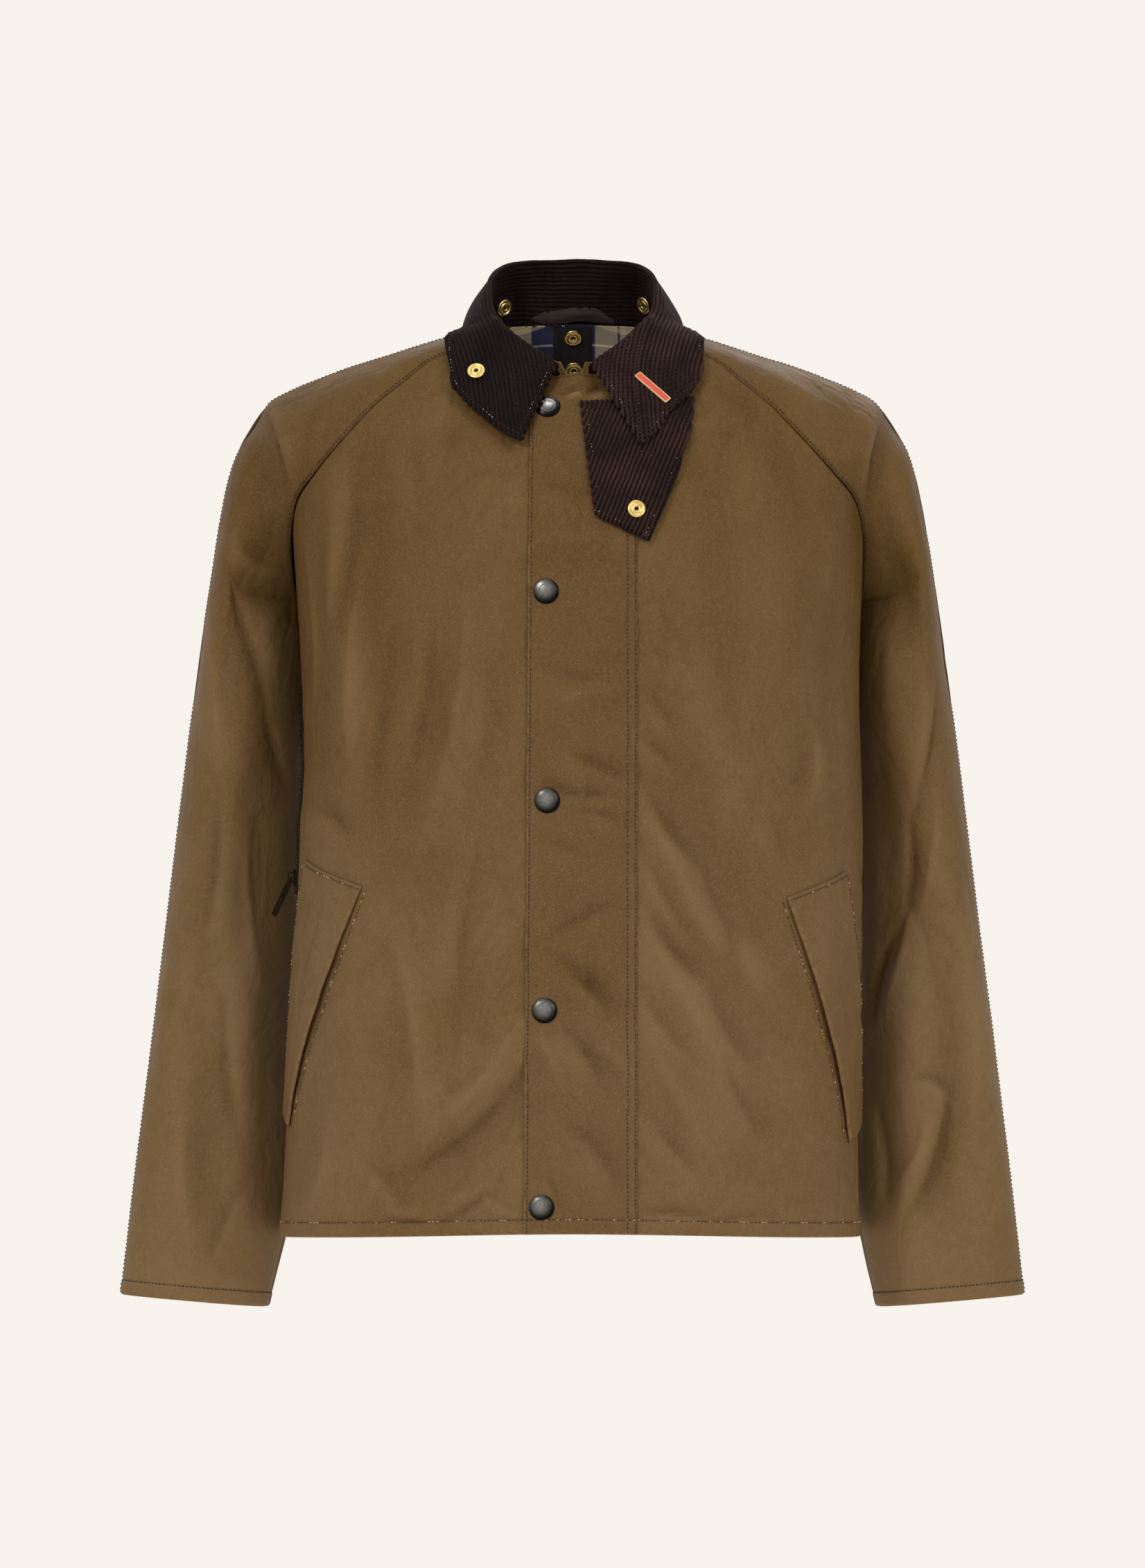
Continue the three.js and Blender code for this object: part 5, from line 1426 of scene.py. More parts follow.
# What the waxed cotton's material reads: relief, worn edges, puckers, and the painted shade along seams and
# in crease bottoms
def cloth_values(panel):
    crease_bottom_shade = clamp01((-panel.relief - 2.1) / 3)
    seam = clamp01(panel.seam + 0.5 * crease_bottom_shade)
    edge = bump(np.minimum(np.minimum(panel.left, panel.right), panel.bottom), 0, 1.6)
    return {"relief": panel.relief, "edge": edge, "pucker": panel.pucker, "seam": seam}


def add_cloth(name, panel, inside):
    made = shell(name, panel, CLOTH_SHELL, WAX, inside, cloth_values(panel))
    declare(made, name.replace("cloth_", ""))


for side_name in ("right", "left"):
    panel = dress_front(fronts[side_name])
    fronts[side_name] = panel
    add_cloth("cloth_front_" + side_name, panel, CHECK)
back = finish_edges(back, "back", SIDES_AND_HEM, ("left", "right", "top"))
add_cloth("cloth_back", back, CHECK)
for (side_name, half), panel in sleeves.items():
    panel = dress_sleeve(panel)
    sleeves[side_name, half] = panel
    add_cloth("cloth_sleeve_%s_%s" % (side_name, half), panel, ARM_LINING)


# The storm flap lies on both fronts
def storm_flap():
    outwards = -places(FLAP_HALF, SEAM_STEPS, (), FLAP_STEP)
    onwards = places(FLAP_HALF, (), SEAM_STEPS, FLAP_STEP)[1:] - 1
    right = front_panel(-1, outwards, SEEDS["right"]).grid
    left = front_panel(1, onwards, SEEDS["left"]).grid
    grid = np.concatenate([right, left], 1)
    grid[:, :, 1] = smooth_across(grid[:, :, 1])
    panel = panel_facing(grid, FRONTWARDS)
    grid = panel.grid + panel.normals * (LAY_GAP + CLOTH)
    peak = clamp01(1 - np.abs(grid[..., 0] - FLAP_TOP["x"]) / FLAP_TOP["half"])
    grid[..., 2] += bump(panel.top, 0, FLAP_TOP["fade"]) * (FLAP_TOP["rise"] * peak - FLAP_TOP["drop"])
    panel = Panel(grid, panel.turn)
    x, z = grid[..., 0], grid[..., 2]
    panel.relief = crease_depth(FLAP_CREASES, x, z) + 0.2 * fold_depth(FRONT_FOLDS, x, z) - FLAP_SHADE
    puckers = (("left", 0), ("right", 4), ("bottom", HEM_BAND), ("top", 0))
    return finish_edges(panel, "flap", puckers)


# Eases the small step where two panels meet under one piece
def smooth_across(values):
    eased = values.copy()
    for _ in range(6):
        eased[:, 1:-1] = (eased[:, :-2] + 2 * eased[:, 1:-1] + eased[:, 2:]) / 4
    return np.minimum(values, eased)


# Where a small piece's node sits: the middle of its foot, two axes across it and its normal
def node_frame(name):
    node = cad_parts[name]
    points = np.array([node.matrix_world @ v.co for v in node.data.vertices]) / MM
    points = np.unique(np.round(points, 3), axis=0)
    centre = points.mean(0)
    off = points - centre
    normal = np.linalg.svd(off, full_matrices=False)[2][2]
    if normal @ np.array(FRONTWARDS) < 0:
        normal = -normal
    x = unit(np.cross([0, 0, 1.0], normal))
    y = np.cross(normal, x)
    foot = centre + normal * (off @ normal).min()
    for axis in (x, y):
        reach = off @ axis
        foot = foot + axis * (reach.min() + reach.max()) / 2
    return foot, x, y, normal


# Presses the flap flat under each stud
def seat_studs(panel):
    for k in range(1, STUD_COUNT + 1):
        foot, _, _, normal = node_frame("press_stud_%d" % k)
        off = panel.grid - foot
        height = off @ normal
        away = np.linalg.norm(off - height[..., None] * normal, axis=-1)
        flat = 1 - ease((away - SEAT["radius"]) / SEAT["fade"])
        panel.grid = panel.grid - normal * ((height - SEAT["sink"]) * flat)[..., None]
    return panel


flap = seat_studs(storm_flap())
add_cloth("cloth_storm_flap", flap, WAX)
front_surface = {name: Surface(panel) for name, panel in fronts.items()}
flap_surface = Surface(flap)


# The small corner of a front's facing, which stands up inside the neck
def neck_corner(side_name):
    foot, head = (np.array(NECK_CORNERS[side_name][key], float) for key in ("foot", "head"))
    up = places(CORNER_CUT[0], THIN_STEPS, THIN_STEPS, THIN_STEP)[:, None, None]
    across = places(CORNER_CUT[1], THIN_STEPS, THIN_STEPS, THIN_STEP)[None, :, None]
    at = mix(mix(foot[0], foot[1], across), mix(head[0], head[1], across), up)
    y = CORNER["y"] + CORNER["lean"] * up[..., 0] + CORNER["bow"] * np.sin(np.pi * across[..., 0])
    panel = panel_facing(xyz(at[..., 0], y, at[..., 1]), FRONTWARDS)
    panel.relief = panel.relief - CORNER_SHADE
    return finish_edges(panel, "corner", SIDES_AND_TOP)


corners = {name: neck_corner(name) for name in ("right", "left")}
for name, panel in corners.items():
    made = shell("cloth_neck_corner_" + name, panel, CORNER["wall"], WAX, WAX, cloth_values(panel))
    declare(made)


# Pocket welts, open along their slanted front edges
def welt(side_name):
    side = -1 if side_name == "right" else 1
    corner = {key: np.array(value, float) for key, value in WELTS[side_name].items()}
    up = places(WELT_CUT[0], SEAM_STEPS, SEAM_STEPS, WELT_STEP)[:, None, None]
    across = places(WELT_CUT[1], SEAM_STEPS, SEAM_STEPS, WELT_STEP)[None, :, None]
    front_line = mix(corner["lowFront"], corner["front"], up)
    rear_line = mix(corner["lowRear"], corner["rear"], up)
    at = mix(front_line, rear_line, across)
    points, normals = front_surface[side_name].under(body_point(side, at[..., 0], at[..., 1]))
    stand = np.sin(np.pi * up[..., 0]) * (1 - across[..., 0]) ** 2 * WELT_LIFT
    points = points + normals * (WELT_GAP + CLOTH + stand)[..., None]
    panel = panel_facing(points, normals)
    restless(panel, SEEDS["welts"] + side, 30, 0.5)
    return finish_edges(panel, "welt", SIDES_AND_TOP, ("bottom",))


welts = {name: welt(name) for name in ("right", "left")}
for name, panel in welts.items():
    add_cloth("cloth_pocket_welt_" + name, panel, WAX)


# The neck seam, from the right front round the back to the left front
def neck_line():
    def half(name):
        front, rear = sleeves[name, "front"], sleeves[name, "back"]
        return np.concatenate([fronts[name].grid[-1], front.grid[-1], rear.grid[-1][::-1]])

    return np.concatenate([half("right"), back.grid[-1], half("left")[::-1]])


NECK = neck_line()
NECK_ANGLES = np.arctan2(NECK[:, 0], NECK[:, 1])


# The neck seam's points beside the roll line's
def neck_near(roll):
    wanted = np.arctan2(roll[..., 0], roll[..., 1])
    off = np.angle(np.exp(1j * (NECK_ANGLES - wanted[..., None])))
    return NECK[np.argmin(np.abs(off), -1)]


chest = Surface(*fronts.values(), back, *sleeves.values())


# Eases a grid's inner points towards their neighbours
def smoothed(grid, times):
    grid = grid.copy()
    for _ in range(times):
        beside = grid[:-2, 1:-1] + grid[2:, 1:-1] + grid[1:-1, :-2] + grid[1:-1, 2:]
        grid[1:-1, 1:-1] = (grid[1:-1, 1:-1] * 4 + beside) / 8
    return grid


# The collar's section at each station: up the inside of the stand, over the roll, down the fall
def collar_form(stations, count):
    side = np.where(stations[:, 0] < 0, -1.0, 1.0)
    at = stations[:, 1]

    def value(column):
        return follow(COLLAR, "at", column, at)

    roll = xyz(side * value("rollX"), value("rollY"), value("rollZ"))
    edge = xyz(side * value("edgeX"), value("edgeY"), value("edgeZ"))
    left = side > 0
    shift = np.where(left, clamp01(1 - at / LEFT_FALL["reach"]), 0)
    bulge = LEFT_FALL["bulge"] * bump(at, LEFT_FALL["at"], LEFT_FALL["width"])
    roll[:, 0] += LEFT_FALL["roll"] * shift
    edge[:, 0] += LEFT_FALL["out"] * shift + np.where(left, bulge, 0)
    edge[:, 2] -= LEFT_FALL["down"] * shift
    ring = neck_near(roll)
    for _ in range(3):
        ring[1:-1] = (ring[:-2] + 2 * ring[1:-1] + ring[2:]) / 4
    out = unit(roll * (1, 1, 0))
    base = ring - out * (COLLAR_WALL + 1) + (0, 0, 0.6)
    rise = (roll[:, 2] - base[:, 2])[:, None]
    radius = np.minimum(ROLL_RADIUS, rise * 0.3)
    up = np.array([0, 0, 1.0])
    stand = [base, base + up * rise * 0.5, roll - out * radius * 1.2, roll]
    drop = [roll, roll + out * radius * 1.4, edge - (edge - roll) * 0.5 - out * FALL_HOLLOW, edge]

    def length(controls):
        t = np.linspace(0, 1, 13)[:, None] * np.ones(len(at))
        line = bezier([c[None] for c in controls], t)
        return np.linalg.norm(np.diff(line, axis=0), axis=-1).sum(0)

    share = (length(stand) / (length(stand) + length(drop)))[:, None]
    s = np.linspace(0, 1, count)[None, :]
    on_stand = bezier([c[:, None] for c in stand], clamp01(s / share))
    on_drop = bezier([c[:, None] for c in drop], clamp01((s - share) / (1 - share)))
    grid = np.where((s < share)[..., None], on_stand, on_drop)
    lift = np.broadcast_to(value("lift")[:, None], grid.shape[:2])
    fall = s > share + 0.1
    grid = chest.push(grid, np.where(fall, lift + COLLAR_WALL, ANYWHERE))
    grid = flap_surface.push(grid, np.where(fall, COLLAR_WALL + FALL_OVER_FLAP, ANYWHERE))
    grain = np.clip(value("grain"), 0, 1)
    reference = share[:, 0] + (1 - share[:, 0]) * grain
    return grid, reference, share[:, 0]


# Smooth values at fractional places along one axis of an evenly spaced grid
def between(grid, spots):
    last = len(grid) - 1
    k = np.clip(np.floor(spots).astype(int), 0, last - 1)
    t = (spots - k).reshape((-1,) + (1,) * (grid.ndim - 1))
    before, after = np.maximum(k - 1, 0), np.minimum(k + 2, last)
    slope_a = (grid[k + 1] - grid[before]) / (k + 1 - before).reshape(t.shape)
    slope_b = (grid[after] - grid[k]) / (after - k).reshape(t.shape)
    return hermite(t, grid[k], slope_a, grid[k + 1], slope_b)


# A grid's points at other shares of its rows and columns
def resample(grid, row_shares, column_shares):
    fine = between(grid, row_shares * (len(grid) - 1))
    return between(fine.swapaxes(0, 1), column_shares * (grid.shape[1] - 1)).swapaxes(0, 1)


# Signed distances on the cloth from a line in it, which the cords run along
def grain_distance(grid, line, beyond):
    tree = tree_of(line)
    flat = grid.reshape(-1, 3)
    away, along = np.empty(len(flat)), np.empty(len(flat))
    for k, p in enumerate(flat):
        _, n, distance = tree.find(p)
        away[k], along[k] = distance, n
    signs = np.where(beyond, 1.0, -1.0)
    return away.reshape(grid.shape[:2]) * signs, along.reshape(grid.shape[:2])


# The height of the cords, from 0 in a valley to 1 on a ridge
def wales(across):
    phase = np.abs(np.mod(across / WALE, 1) * 2 - 1)
    return 1 - phase**2.6


# Gives a panel its cords, makes its piece, attaches it and hides the part it replaces
def corded(name, panel, across, along, wall, nap_sheen, replaces):
    border = np.minimum(np.minimum(panel.left, panel.right), np.minimum(panel.bottom, panel.top))
    across = across + 0.7 * soft_noise(panel.grid, 14, 1, 52.0)
    ridge = wales(across)
    lump = 0.12 * soft_noise(panel.grid, 3.0, 1, 5.0)
    height = (RIB_HEIGHT + RIB_VALLEY) * ridge - RIB_VALLEY + lump
    roundness = 0.7 * np.exp(-((border / 1.4) ** 2)) + 0.35 * bump(border, 3.4, 0.9)
    base = panel.grid
    panel.grid = base + panel.normals * (height - roundness)[..., None]
    reach = np.exp(-((border / 2.0) ** 2)) * (ridge - 0.45) * 1.9
    outwards = unit(base - neighbour_in(base, 2))
    panel.grid = panel.grid + outwards * reach[..., None]
    inner = base - panel.normals * (wall * (1 - 0.35 * bump(border, 0, 1.5)))[..., None]
    uv = np.stack([along, across], -1) * MM
    values = {"wale": ridge, "nap_sheen": nap_sheen}
    made = shell(name, panel, wall, CORD, CORD, values, uv, inner)
    declare(made, replaces)


# For points near a border, points further in; for the rest, themselves moved a little
def neighbour_in(grid, steps):
    rows, columns = grid.shape[:2]
    j = np.clip(np.arange(rows), steps, rows - 1 - steps)
    i = np.clip(np.arange(columns), steps, columns - 1 - steps)
    near = grid[j][:, i]
    same = np.linalg.norm(near - grid, axis=-1) < 1e-6
    near[same] += 1e-3
    return near


# The collar's stations as side and share: right front end, centre back, left front end
def station_list(per_side):
    at = np.linspace(0, 1, per_side + 1)
    right = np.stack([-np.ones_like(at), at], 1)
    left = np.stack([np.ones_like(at), at], 1)[::-1][1:]
    return np.concatenate([right, left])


# The collar's cloth, its places across and along its cords, its columns and where it folds
def collar_panel():
    stations = station_list(36)
    form, reference, fold = collar_form(stations, 49)
    rows = places(COLLAR_CUT[0], CORD_STEPS, CORD_STEPS, COLLAR_STEP)
    columns = places(COLLAR_CUT[1], CORD_STEPS[:3], FALL_STEPS, CORD_STEP)
    panel = Panel(resample(smoothed(form, 3), rows, columns), -1)
    panel.move(soft_noise(panel.grid, 30, 1, 31.0) * 0.9)
    panel = refresh(panel)
    at = np.interp(rows, np.linspace(0, 1, len(reference)), reference)
    spots = np.interp(at, columns, np.arange(len(columns)))
    line = np.array([between(row, spot[None])[0] for row, spot in zip(panel.grid, spots)])
    beyond = columns[None, :] > at[:, None]
    across, nearest = grain_distance(panel.grid, line, beyond)
    steps = np.concatenate([[0], np.cumsum(np.linalg.norm(np.diff(line, axis=0), axis=1))])
    along = np.interp(nearest, np.arange(len(steps)), steps)
    fold_at = np.interp(rows, np.linspace(0, 1, len(fold)), fold)
    return panel, across, along, columns, fold_at


collar, collar_across, collar_along, collar_columns, collar_fold = collar_panel()
# The collar's painted nap sheen: lighter on the left of the fall than the right, with its own values at the
# back and inside the stand
collar_nap_sheen = mix(NAP_SHEEN["right"], NAP_SHEEN["left"], ease((collar.grid[..., 0] + 30) / 60))
collar_nap_sheen = np.where(collar.grid[..., 1] < 0, collar_nap_sheen, NAP_SHEEN["back"])
collar_nap_sheen = np.where(collar_columns[None, :] < collar_fold[:, None], NAP_SHEEN["stand"], collar_nap_sheen)
corded("cord_collar", collar, collar_across, collar_along, COLLAR_WALL, collar_nap_sheen, "collar")


# The tab's cloth, and its places across and along its cords
def throat_tab():
    share = np.linspace(1, 0, 25)[:, None]
    across = np.linspace(0, 1, 21)[None, :]

    def at(column):
        return follow(TAB, "at", column, share)

    x = mix(at("leftX"), at("rightX"), across)
    z = mix(at("leftZ"), at("rightZ"), across)
    front = fronts["left"].grid.reshape(-1, 3)
    tree = tree_of(front * (1, 0, 1))
    found = [tree.find((max(a, FRONT_EDGE_X + 0.5), 0, b))[1] for a, b in zip(x.ravel(), z.ravel())]
    grid = xyz(x, front[found, 1].reshape(x.shape) - TAB_START, z)
    grid = chest.push(grid, TAB_LIFT)
    grid = flap_surface.push(grid, LAY_GAP + 0.2 + TAB_WALL)
    rows = places(TAB_CUT[0], CORD_STEPS, (), TAB_STEP)
    columns = places(TAB_CUT[1], TAB_STEPS, TAB_STEPS, CORD_STEP)
    panel = Panel(resample(smoothed(grid, 4), rows, columns), 1)
    panel.move(soft_noise(panel.grid, 26, 1, 71.0))
    panel = refresh(panel)
    x, z = panel.grid[..., 0] - TAB["leftX"][-1], panel.grid[..., 2] - TAB["leftZ"][-1]
    right, up = math.sin(TAB_LEAN), math.cos(TAB_LEAN)
    return panel, x * right - z * up, x * up + z * right


tab, tab_across, tab_along = throat_tab()
# The tab's painted nap sheen
tab_nap_sheen = np.full(tab.grid.shape[:2], NAP_SHEEN["tab"])
corded("cord_throat_tab", tab, tab_across, tab_along, TAB_WALL, tab_nap_sheen, "throat_tab")


# The upper back's lining and its tape
def neck_lining():
    rows = TORSO_T >= LINING["first"]
    panel = back.part(rows, slice(None))
    panel.turn = -panel.turn
    grid = panel.grid - panel.normals * (CLOTH + LINING["gap"] + LINING["wall"])
    made = Panel(grid[1:-1, 2:-2], panel.turn)
    made.move(soft_noise(made.grid, 22, 1, 90.0) * 0.25)
    return refresh(made)


lining = neck_lining()
made = shell("cloth_neck_lining", lining, LINING["wall"], CHECK, CHECK, uv=centred_uv(lining))
declare(made, "neck_lining")
lining_surface = Surface(lining)


# Places at a height above a surface, with the surface's normals there
def strip(surface, xs, zs, lift):
    on, normals = surface.at(xs, zs)
    return on + normals * np.broadcast_to(lift, on.shape[:2])[..., None], normals


def neck_tape():
    up, across = (places(length, TAPE_STEPS, TAPE_STEPS, TAPE_STEP) for length in TAPE_CUT)
    x = mix(-TAPE["half"], TAPE["half"], across)[None, :]
    z = mix(TAPE["bottom"], TAPE["top"], up)[:, None]
    grid, normals = strip(lining_surface, x, z, LAY_GAP + TAPE["wall"])
    return finish_edges(panel_facing(grid, normals), "tape")


tape = neck_tape()
made = shell("tape_neck", tape, TAPE["wall"], TAPE_BLACK, TAPE_BLACK)
declare(made, "neck_tape")


# A loop of folded cloth at the back neck
def hanger_loop():
    stand = Surface(Panel(collar.grid[:, : int(len(collar_columns) * 0.42)], -1))
    along = places(LOOP_LENGTH, LOOP_END_STEPS, LOOP_END_STEPS, LOOP_STEPS[0])[None, :] * 2 - 1
    up = places(LOOP["width"], THIN_STEPS, THIN_STEPS, LOOP_STEPS[1])[:, None] - 0.5
    bow = 1 - along**2
    pinch = mix(LOOP["pinch"], 1.0, ease(bow * 1.3))
    z = LOOP["low"] + LOOP["arch"] * bow + LOOP["width"] * up * pinch + 1.2 * np.sin(along * 4)
    sag = 0.66 * np.cos(up * 2 * math.pi) * bow
    lift = RIB_HEIGHT + 0.1 + LOOP["wall"] + LOOP["stand"] * bow + sag
    grid, normals = strip(stand, along * LOOP["half"], z, lift)
    return finish_edges(panel_facing(grid, normals), "loop")


loop = hanger_loop()
made = shell("loop_hanger", loop, LOOP["wall"], LOOP_PLUM, LOOP_PLUM)
declare(made, "hanger_loop")


# The faces of a form made of rings of points: its sides, then its foot and its top
def ring_faces(rings, count):
    faces = []
    for j in range(rings - 1):
        for i in range(count):
            k = (i + 1) % count
            faces.append([j * count + i, j * count + k, (j + 1) * count + k, (j + 1) * count + i])
    faces.append(list(range(count))[::-1])
    faces.append([(rings - 1) * count + i for i in range(count)])
    return faces


# Turns a profile of radii and heights into a closed form
def lathe(profile, count):
    turn = np.linspace(0, 2 * math.pi, count, endpoint=False)
    verts = []
    for r, h in profile:
        verts += [(r * math.cos(a), r * math.sin(a), h) for a in turn]
    return np.array(verts), ring_faces(len(profile), count)


# Lays a turned form on the place of its node
def on_node(name, node, form, look, rim):
    verts, faces = form
    foot, x, y, normal = node_frame(node)
    made = make_object(name, foot + verts @ np.array([x, y, normal]), faces, [look])
    add_values(made, "rim", rim)
    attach(made, "jacket")
    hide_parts(node)


# Profiles as radius and height, from the foot to the top
R = STUD_RADIUS
STUD_PROFILE = [
    (0.01, 0), (R - 1.2, 0), (R - 0.45, 0.12), (R - 0.1, 0.45), (R, 0.85), (R - 0.12, 1.25), (R - 0.5, 1.55),
    (R - 0.95, 1.72), (R - 1.25, 1.7), (R - 1.5, 1.78), (R - 2.2, 2.05), (R - 3.4, 2.38), (R - 4.0, 2.46),
    (R - 4.2, 2.44), (R - 4.5, 2.52), (R * 0.34, 2.8), (R * 0.16, 2.93), (0.01, STUD_HEIGHT - 0.03),
]
stud = lathe(STUD_PROFILE, STUD_SIDES)
# Painted light: the caps are painted darker away from a highlight spot up to their left, as under a soft
# light
stud_painted_light = ease((np.hypot(stud[0][:, 0] / R + 0.12, stud[0][:, 1] / R - 0.2) - 0.1) / 0.95)
for k in range(1, STUD_COUNT + 1):
    on_node("stud_cap_%d" % k, "press_stud_%d" % k, stud, GUNMETAL, stud_painted_light)

Q = RING_RADIUS
RING_PROFILE = [
    (0.9, 0.5), (1.0, 0.15), (Q - 0.9, 0.0), (Q - 0.25, 0.15), (Q, 0.55), (Q - 0.15, 0.95), (Q - 0.6, 1.3),
    (Q - 1.1, 1.42), (Q - 1.6, 1.36), (Q - 2.1, 1.12), (Q - 2.35, 0.86), (Q - 2.6, 0.84), (Q - 2.8, 1.02),
    (Q - 3.2, 1.3), (Q - 3.8, 1.46), (Q - 4.3, 1.46), (Q - 4.8, 1.28), (Q - 5.1, 0.9), (Q - 5.25, 0.5),
    (0.3, 0.42),
]
ring = lathe(RING_PROFILE, RING_SIDES)
ring_rim = ease((1.7 - np.hypot(ring[0][:, 0], ring[0][:, 1])) / 0.5)
for node in ("collar_socket", "tab_stud", "hood_stud_1", "hood_stud_2", "tape_stud_1", "tape_stud_2"):
    on_node("ring_" + node, node, ring, BRASS, ring_rim)


# The enamelled bar: a cream frame round a sunken red face, in rings of four rounded corners
def collar_bar():
    place, normal = Surface(collar).at(np.array(PIN["x"]), np.array(PIN["z"]))
    base = place + normal * PIN["gap"]
    tilt = math.radians(PIN["tilt"])
    right, down = math.cos(tilt), math.sin(tilt)
    along = unit(np.array([right, (normal[2] * down - normal[0] * right) / normal[1], -down]))
    side = np.cross(normal, along)
    a, b, thick = PIN["length"] / 2, PIN["height"] / 2, PIN["thick"]
    outline = [(0, 0), (0, thick - 0.2), (0.2, thick), (0.65, thick), (0.75, thick - 0.2)]
    verts = []
    for inset, h in outline:
        radius = max(0.7 - inset, 0.15)
        for corner, (sx, sy) in enumerate(((1, 1), (-1, 1), (-1, -1), (1, -1))):
            for q in range(4):
                turn = math.pi / 2 * (corner + q / 3)
                px = sx * (a - inset - radius) + radius * math.cos(turn)
                py = sy * (b - inset - radius) + radius * math.sin(turn)
                verts.append(base + along * px + side * py + normal * h)
    faces = ring_faces(len(outline), 16)
    slots = [0] * (len(faces) - 1) + [1]
    made = make_object("enamel_bar", verts, faces, [ENAMEL_CREAM, ENAMEL_RED], slots, smooth=False)
    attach(made, "jacket")
    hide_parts("collar_pin")


collar_bar()


# The side zip's tape with its two rows of teeth
def side_zip():
    up = places(ZIP_LENGTH, TAPE_STEPS, TAPE_STEPS, STEP)[:, None]
    across = places(ZIP["width"], THIN_STEPS, THIN_STEPS, THIN_STEP)[None, :] - 0.5
    z = mix(ZIP["bottom"] - 12, ZIP["top"], up) + 0 * across
    reach = np.minimum(np.linalg.norm(body_point(-1, ZIP["angle"], z), axis=-1), 200)
    angle = ZIP["angle"] + np.degrees(ZIP["width"] * across / reach)
    grid, normals = front_surface["right"].under(body_point(-1, angle, z))
    grid = grid + normals * (0.2 + ZIP["wall"] * 0.5)
    panel = panel_facing(grid, normals)
    made = shell("zip_tape", panel, ZIP["wall"] * 0.5, ZIP_TAPE, ZIP_TAPE)
    declare(made, "side_zip")
    middle = grid.shape[1] // 2
    line = grid[:, middle], normals[:, middle]
    sew("zip_teeth", [line], BRONZE, pitch=1.6, length=1.0, width=3.6, lift=0.1)


side_zip()


# Makes the pull's thin plate a thicker strap away from its hinge
def broaden(mesh):
    points = np.array([v.co for v in mesh.vertices])
    middle = points.mean(0)
    longest, _, thinnest = np.linalg.svd(points - middle, full_matrices=False)[2]
    if longest[2] > 0:
        longest = -longest
    down = (points - middle) @ longest
    thin = (points - middle) @ thinnest
    grow = PULL_GROWTH * ease((down - down.min()) / (PULL_ROOT * MM))
    for v, p, t, g in zip(mesh.vertices, points, thin, grow):
        v.co = p + thinnest * t * g


# The slider and its pull keep their nodes' shapes, with softened edges
for node, name, body_name in ZIP_PARTS:
    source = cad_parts[node]
    copy = source.copy()
    copy.data = source.data.copy()
    copy.name = name
    for key in list(copy.keys()):
        del copy[key]
    bpy.context.scene.collection.objects.link(copy)
    copy.parent = None
    copy.data.materials.clear()
    copy.data.materials.append(BRONZE)
    if node == "side_zip_pull":
        broaden(copy.data)
    soften = copy.modifiers.new("soft", "BEVEL")
    soften.width = ZIP_BEVEL * MM
    soften.segments = 2
    soften.limit_method = "ANGLE"
    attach(copy, body_name)
    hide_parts(node)


# Sewing that shows
seam_rows = {"right": [], "left": []}
for (side_name, half), panel in sleeves.items():
    points, normals = panel.line("left", EDGE_ROW)
    raglan = ARM_T > 0.01
    seam_rows[side_name].append((points[raglan], normals[raglan]))
    if half == "front":
        seam_rows[side_name].append(panel.line("right", SEAM_ROW))
for side_name, lines in seam_rows.items():
    sew("stitches_sleeve_" + side_name, lines, THREAD_DARK)
sew("stitches_cuffs", [panel.line("bottom", HEM_BAND) for panel in sleeves.values()], THREAD_DARK)
hem_lines = [panel.line("bottom", HEM_BAND) for panel in (*fronts.values(), back, flap)]
sew("stitches_hem", hem_lines, THREAD_HEM, width=0.85, lift=0.2)
flap_rows = [("left", EDGE_ROW), *(("right", at) for at in FLAP_ROWS), ("top", FLAP_TOP_ROW)]
sew("stitches_flap", [flap.line(*row) for row in flap_rows], THREAD_DARK)
below = TORSO_T < 0
side_lines = [back.line(border, SEAM_ROW) for border in ("left", "right")]
sew("stitches_sides", [(points[below], normals[below]) for points, normals in side_lines], THREAD_DARK)
welt_lines = []
for side_name, panel in welts.items():
    welt_lines += [panel.line("right", EDGE_ROW), panel.line("top", WELT_TOP_ROW)]
    opening = panel.line("left", 0.0)[0]
    away = unit(opening - panel.line("left", 4.0)[0]) * 4.2
    welt_lines.append(front_surface[side_name].under(opening + away))
sew("stitches_pockets", welt_lines, THREAD_HEM, width=0.9, lift=0.25)
corner_lines = [panel.line(border, CORNER_ROW) for panel in corners.values() for border in ("left", "right")]
sew("stitches_neck_corners", corner_lines, THREAD_DARK, pitch=2.2, length=1.4, width=0.6)
cord_lines = [collar.line(border, CORD_ROW) for border in ("bottom", "top", "right")]
sew("stitches_collar", cord_lines, THREAD_CORD, pitch=WALE, length=1.3, width=0.55, lift=0.0, spread=0.5)
tab_lines = [tab.line(border, CORD_ROW) for border in ("left", "right", "bottom")]
sew("stitches_tab", tab_lines, THREAD_CORD, pitch=WALE, length=1.2, width=0.5, lift=0.0, spread=0.5)

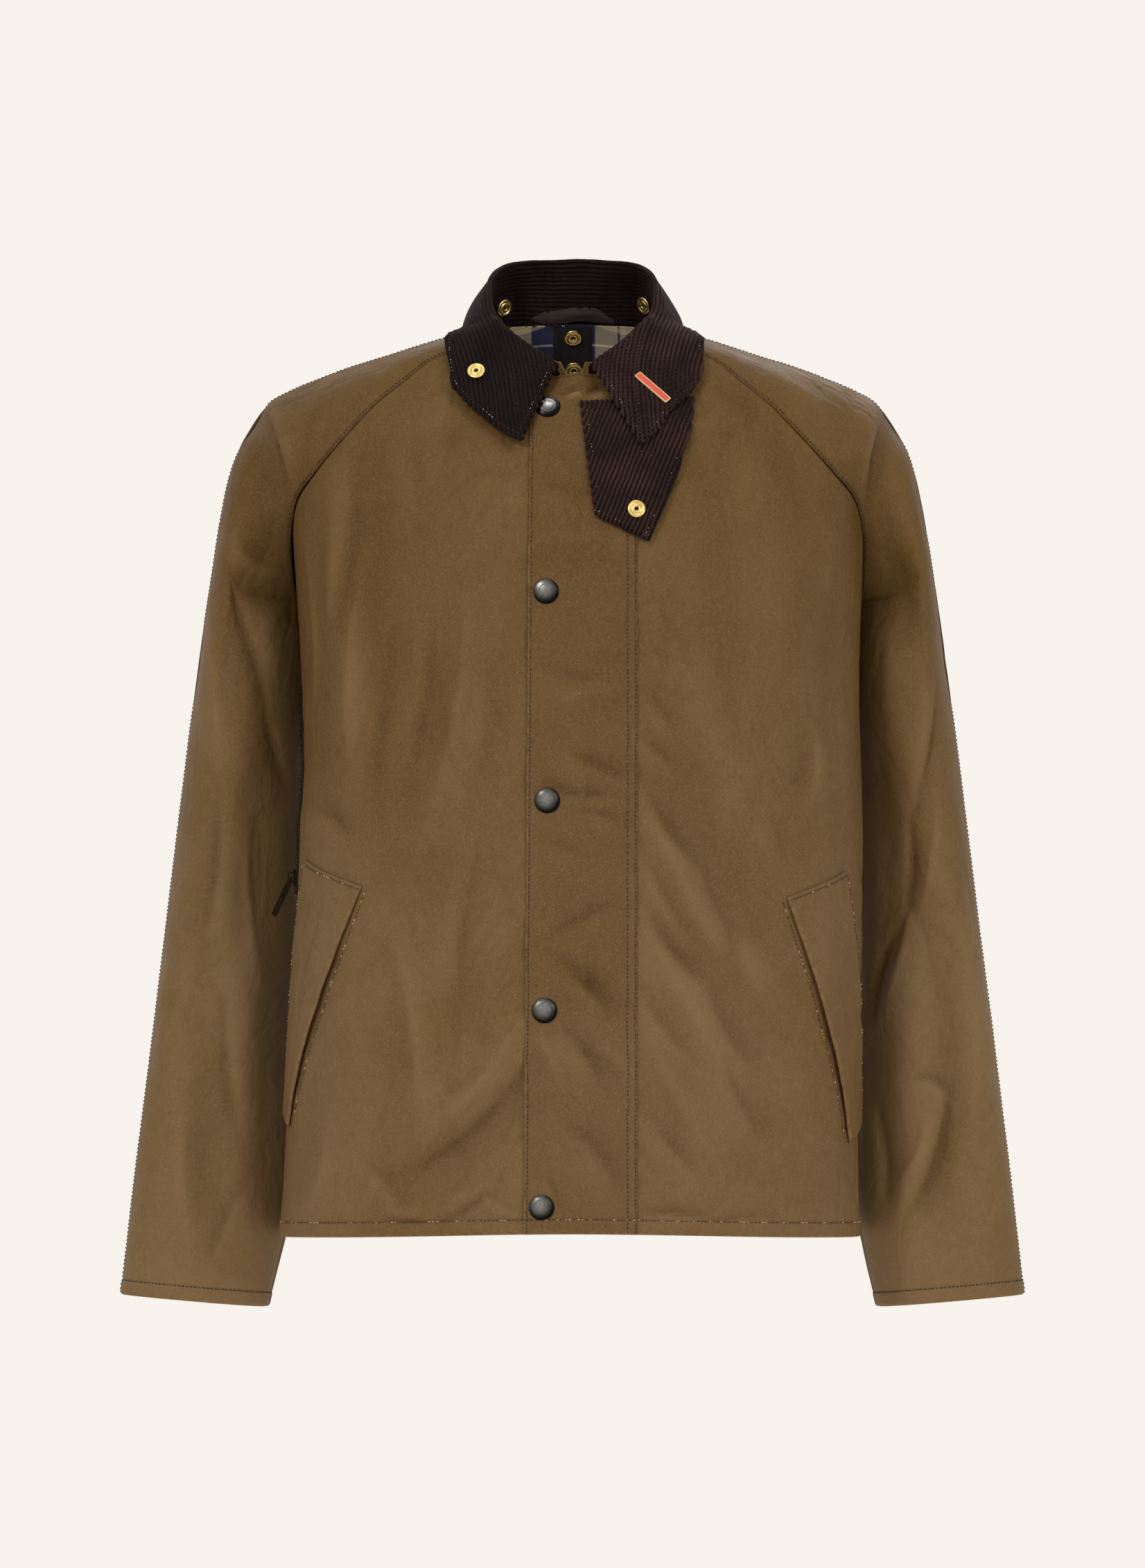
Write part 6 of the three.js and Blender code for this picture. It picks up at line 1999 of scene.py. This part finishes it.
# Floor, lights and camera
turns = np.linspace(0, 2 * math.pi, FLOOR_SIDES, endpoint=False)
floor_verts = [(FLOOR_RADIUS * math.cos(a), FLOOR_RADIUS * math.sin(a), FLOOR_Z) for a in turns]
paper = Finish("paper", Roughness=0.9, Specular_IOR_Level=0.1)
paper.set("Base Color", paper.blend(paper.noise(paper.place(), 3, 3), (246, 241, 235), (250, 246, 241)))
paper.set("Normal", paper.bump(paper.noise(paper.place(), 300, 3), 0.0003, 0.2))
floor = make_object("floor", floor_verts, [list(range(FLOOR_SIDES))], [paper.material], smooth=False)

world = bpy.data.worlds.new("studio")
bpy.context.scene.world = world
world.use_nodes = True
sky = world.node_tree.nodes["Background"]
sky.inputs["Color"].default_value = linear(248, 243, 237)
shown = world.node_tree.nodes.new("ShaderNodeLightPath").outputs["Is Camera Ray"]
strength = world.node_tree.nodes.new("ShaderNodeMapRange")
strength.inputs["To Min"].default_value = AMBIENT
world.node_tree.links.new(shown, strength.inputs["Value"])
world.node_tree.links.new(strength.outputs[0], sky.inputs["Strength"])


def soft_light(name, place, size, power, aim=(0, 0, -0.3)):
    lamp = bpy.data.lights.new(name, "AREA")
    lamp.shape = "RECTANGLE"
    lamp.size, lamp.size_y = size
    lamp.energy = power
    lamp.color = LAMP_COLOUR
    made = bpy.data.objects.new(name, lamp)
    made.location = place
    made.rotation_euler = (Vector(aim) - Vector(place)).to_track_quat("-Z", "Y").to_euler()
    bpy.context.scene.collection.objects.link(made)


soft_light("key", (-1.9, -3.4, 2.0), (0.6, 0.9), 58)
soft_light("fill", (2.6, -3.0, 0.6), (0.8, 1.2), 28)
soft_light("top", (0.1, -0.9, 2.4), (0.9, 0.6), 12, (0, 0.1, 0))
soft_light("rear", (0.6, 3.4, 1.6), (2.0, 1.6), 18)

camera = bpy.data.cameras.new("camera")
camera.lens = CAMERA_LENS
camera.sensor_width = 36
camera.clip_end = 60
eye = bpy.data.objects.new("camera", camera)
eye.location = CAMERA_PLACE
eye.rotation_euler = (math.pi / 2, 0, 0)
bpy.context.scene.collection.objects.link(eye)
bpy.context.scene.camera = eye
bpy.context.scene.view_settings.view_transform = "Standard"

bpy.context.view_layer.update()
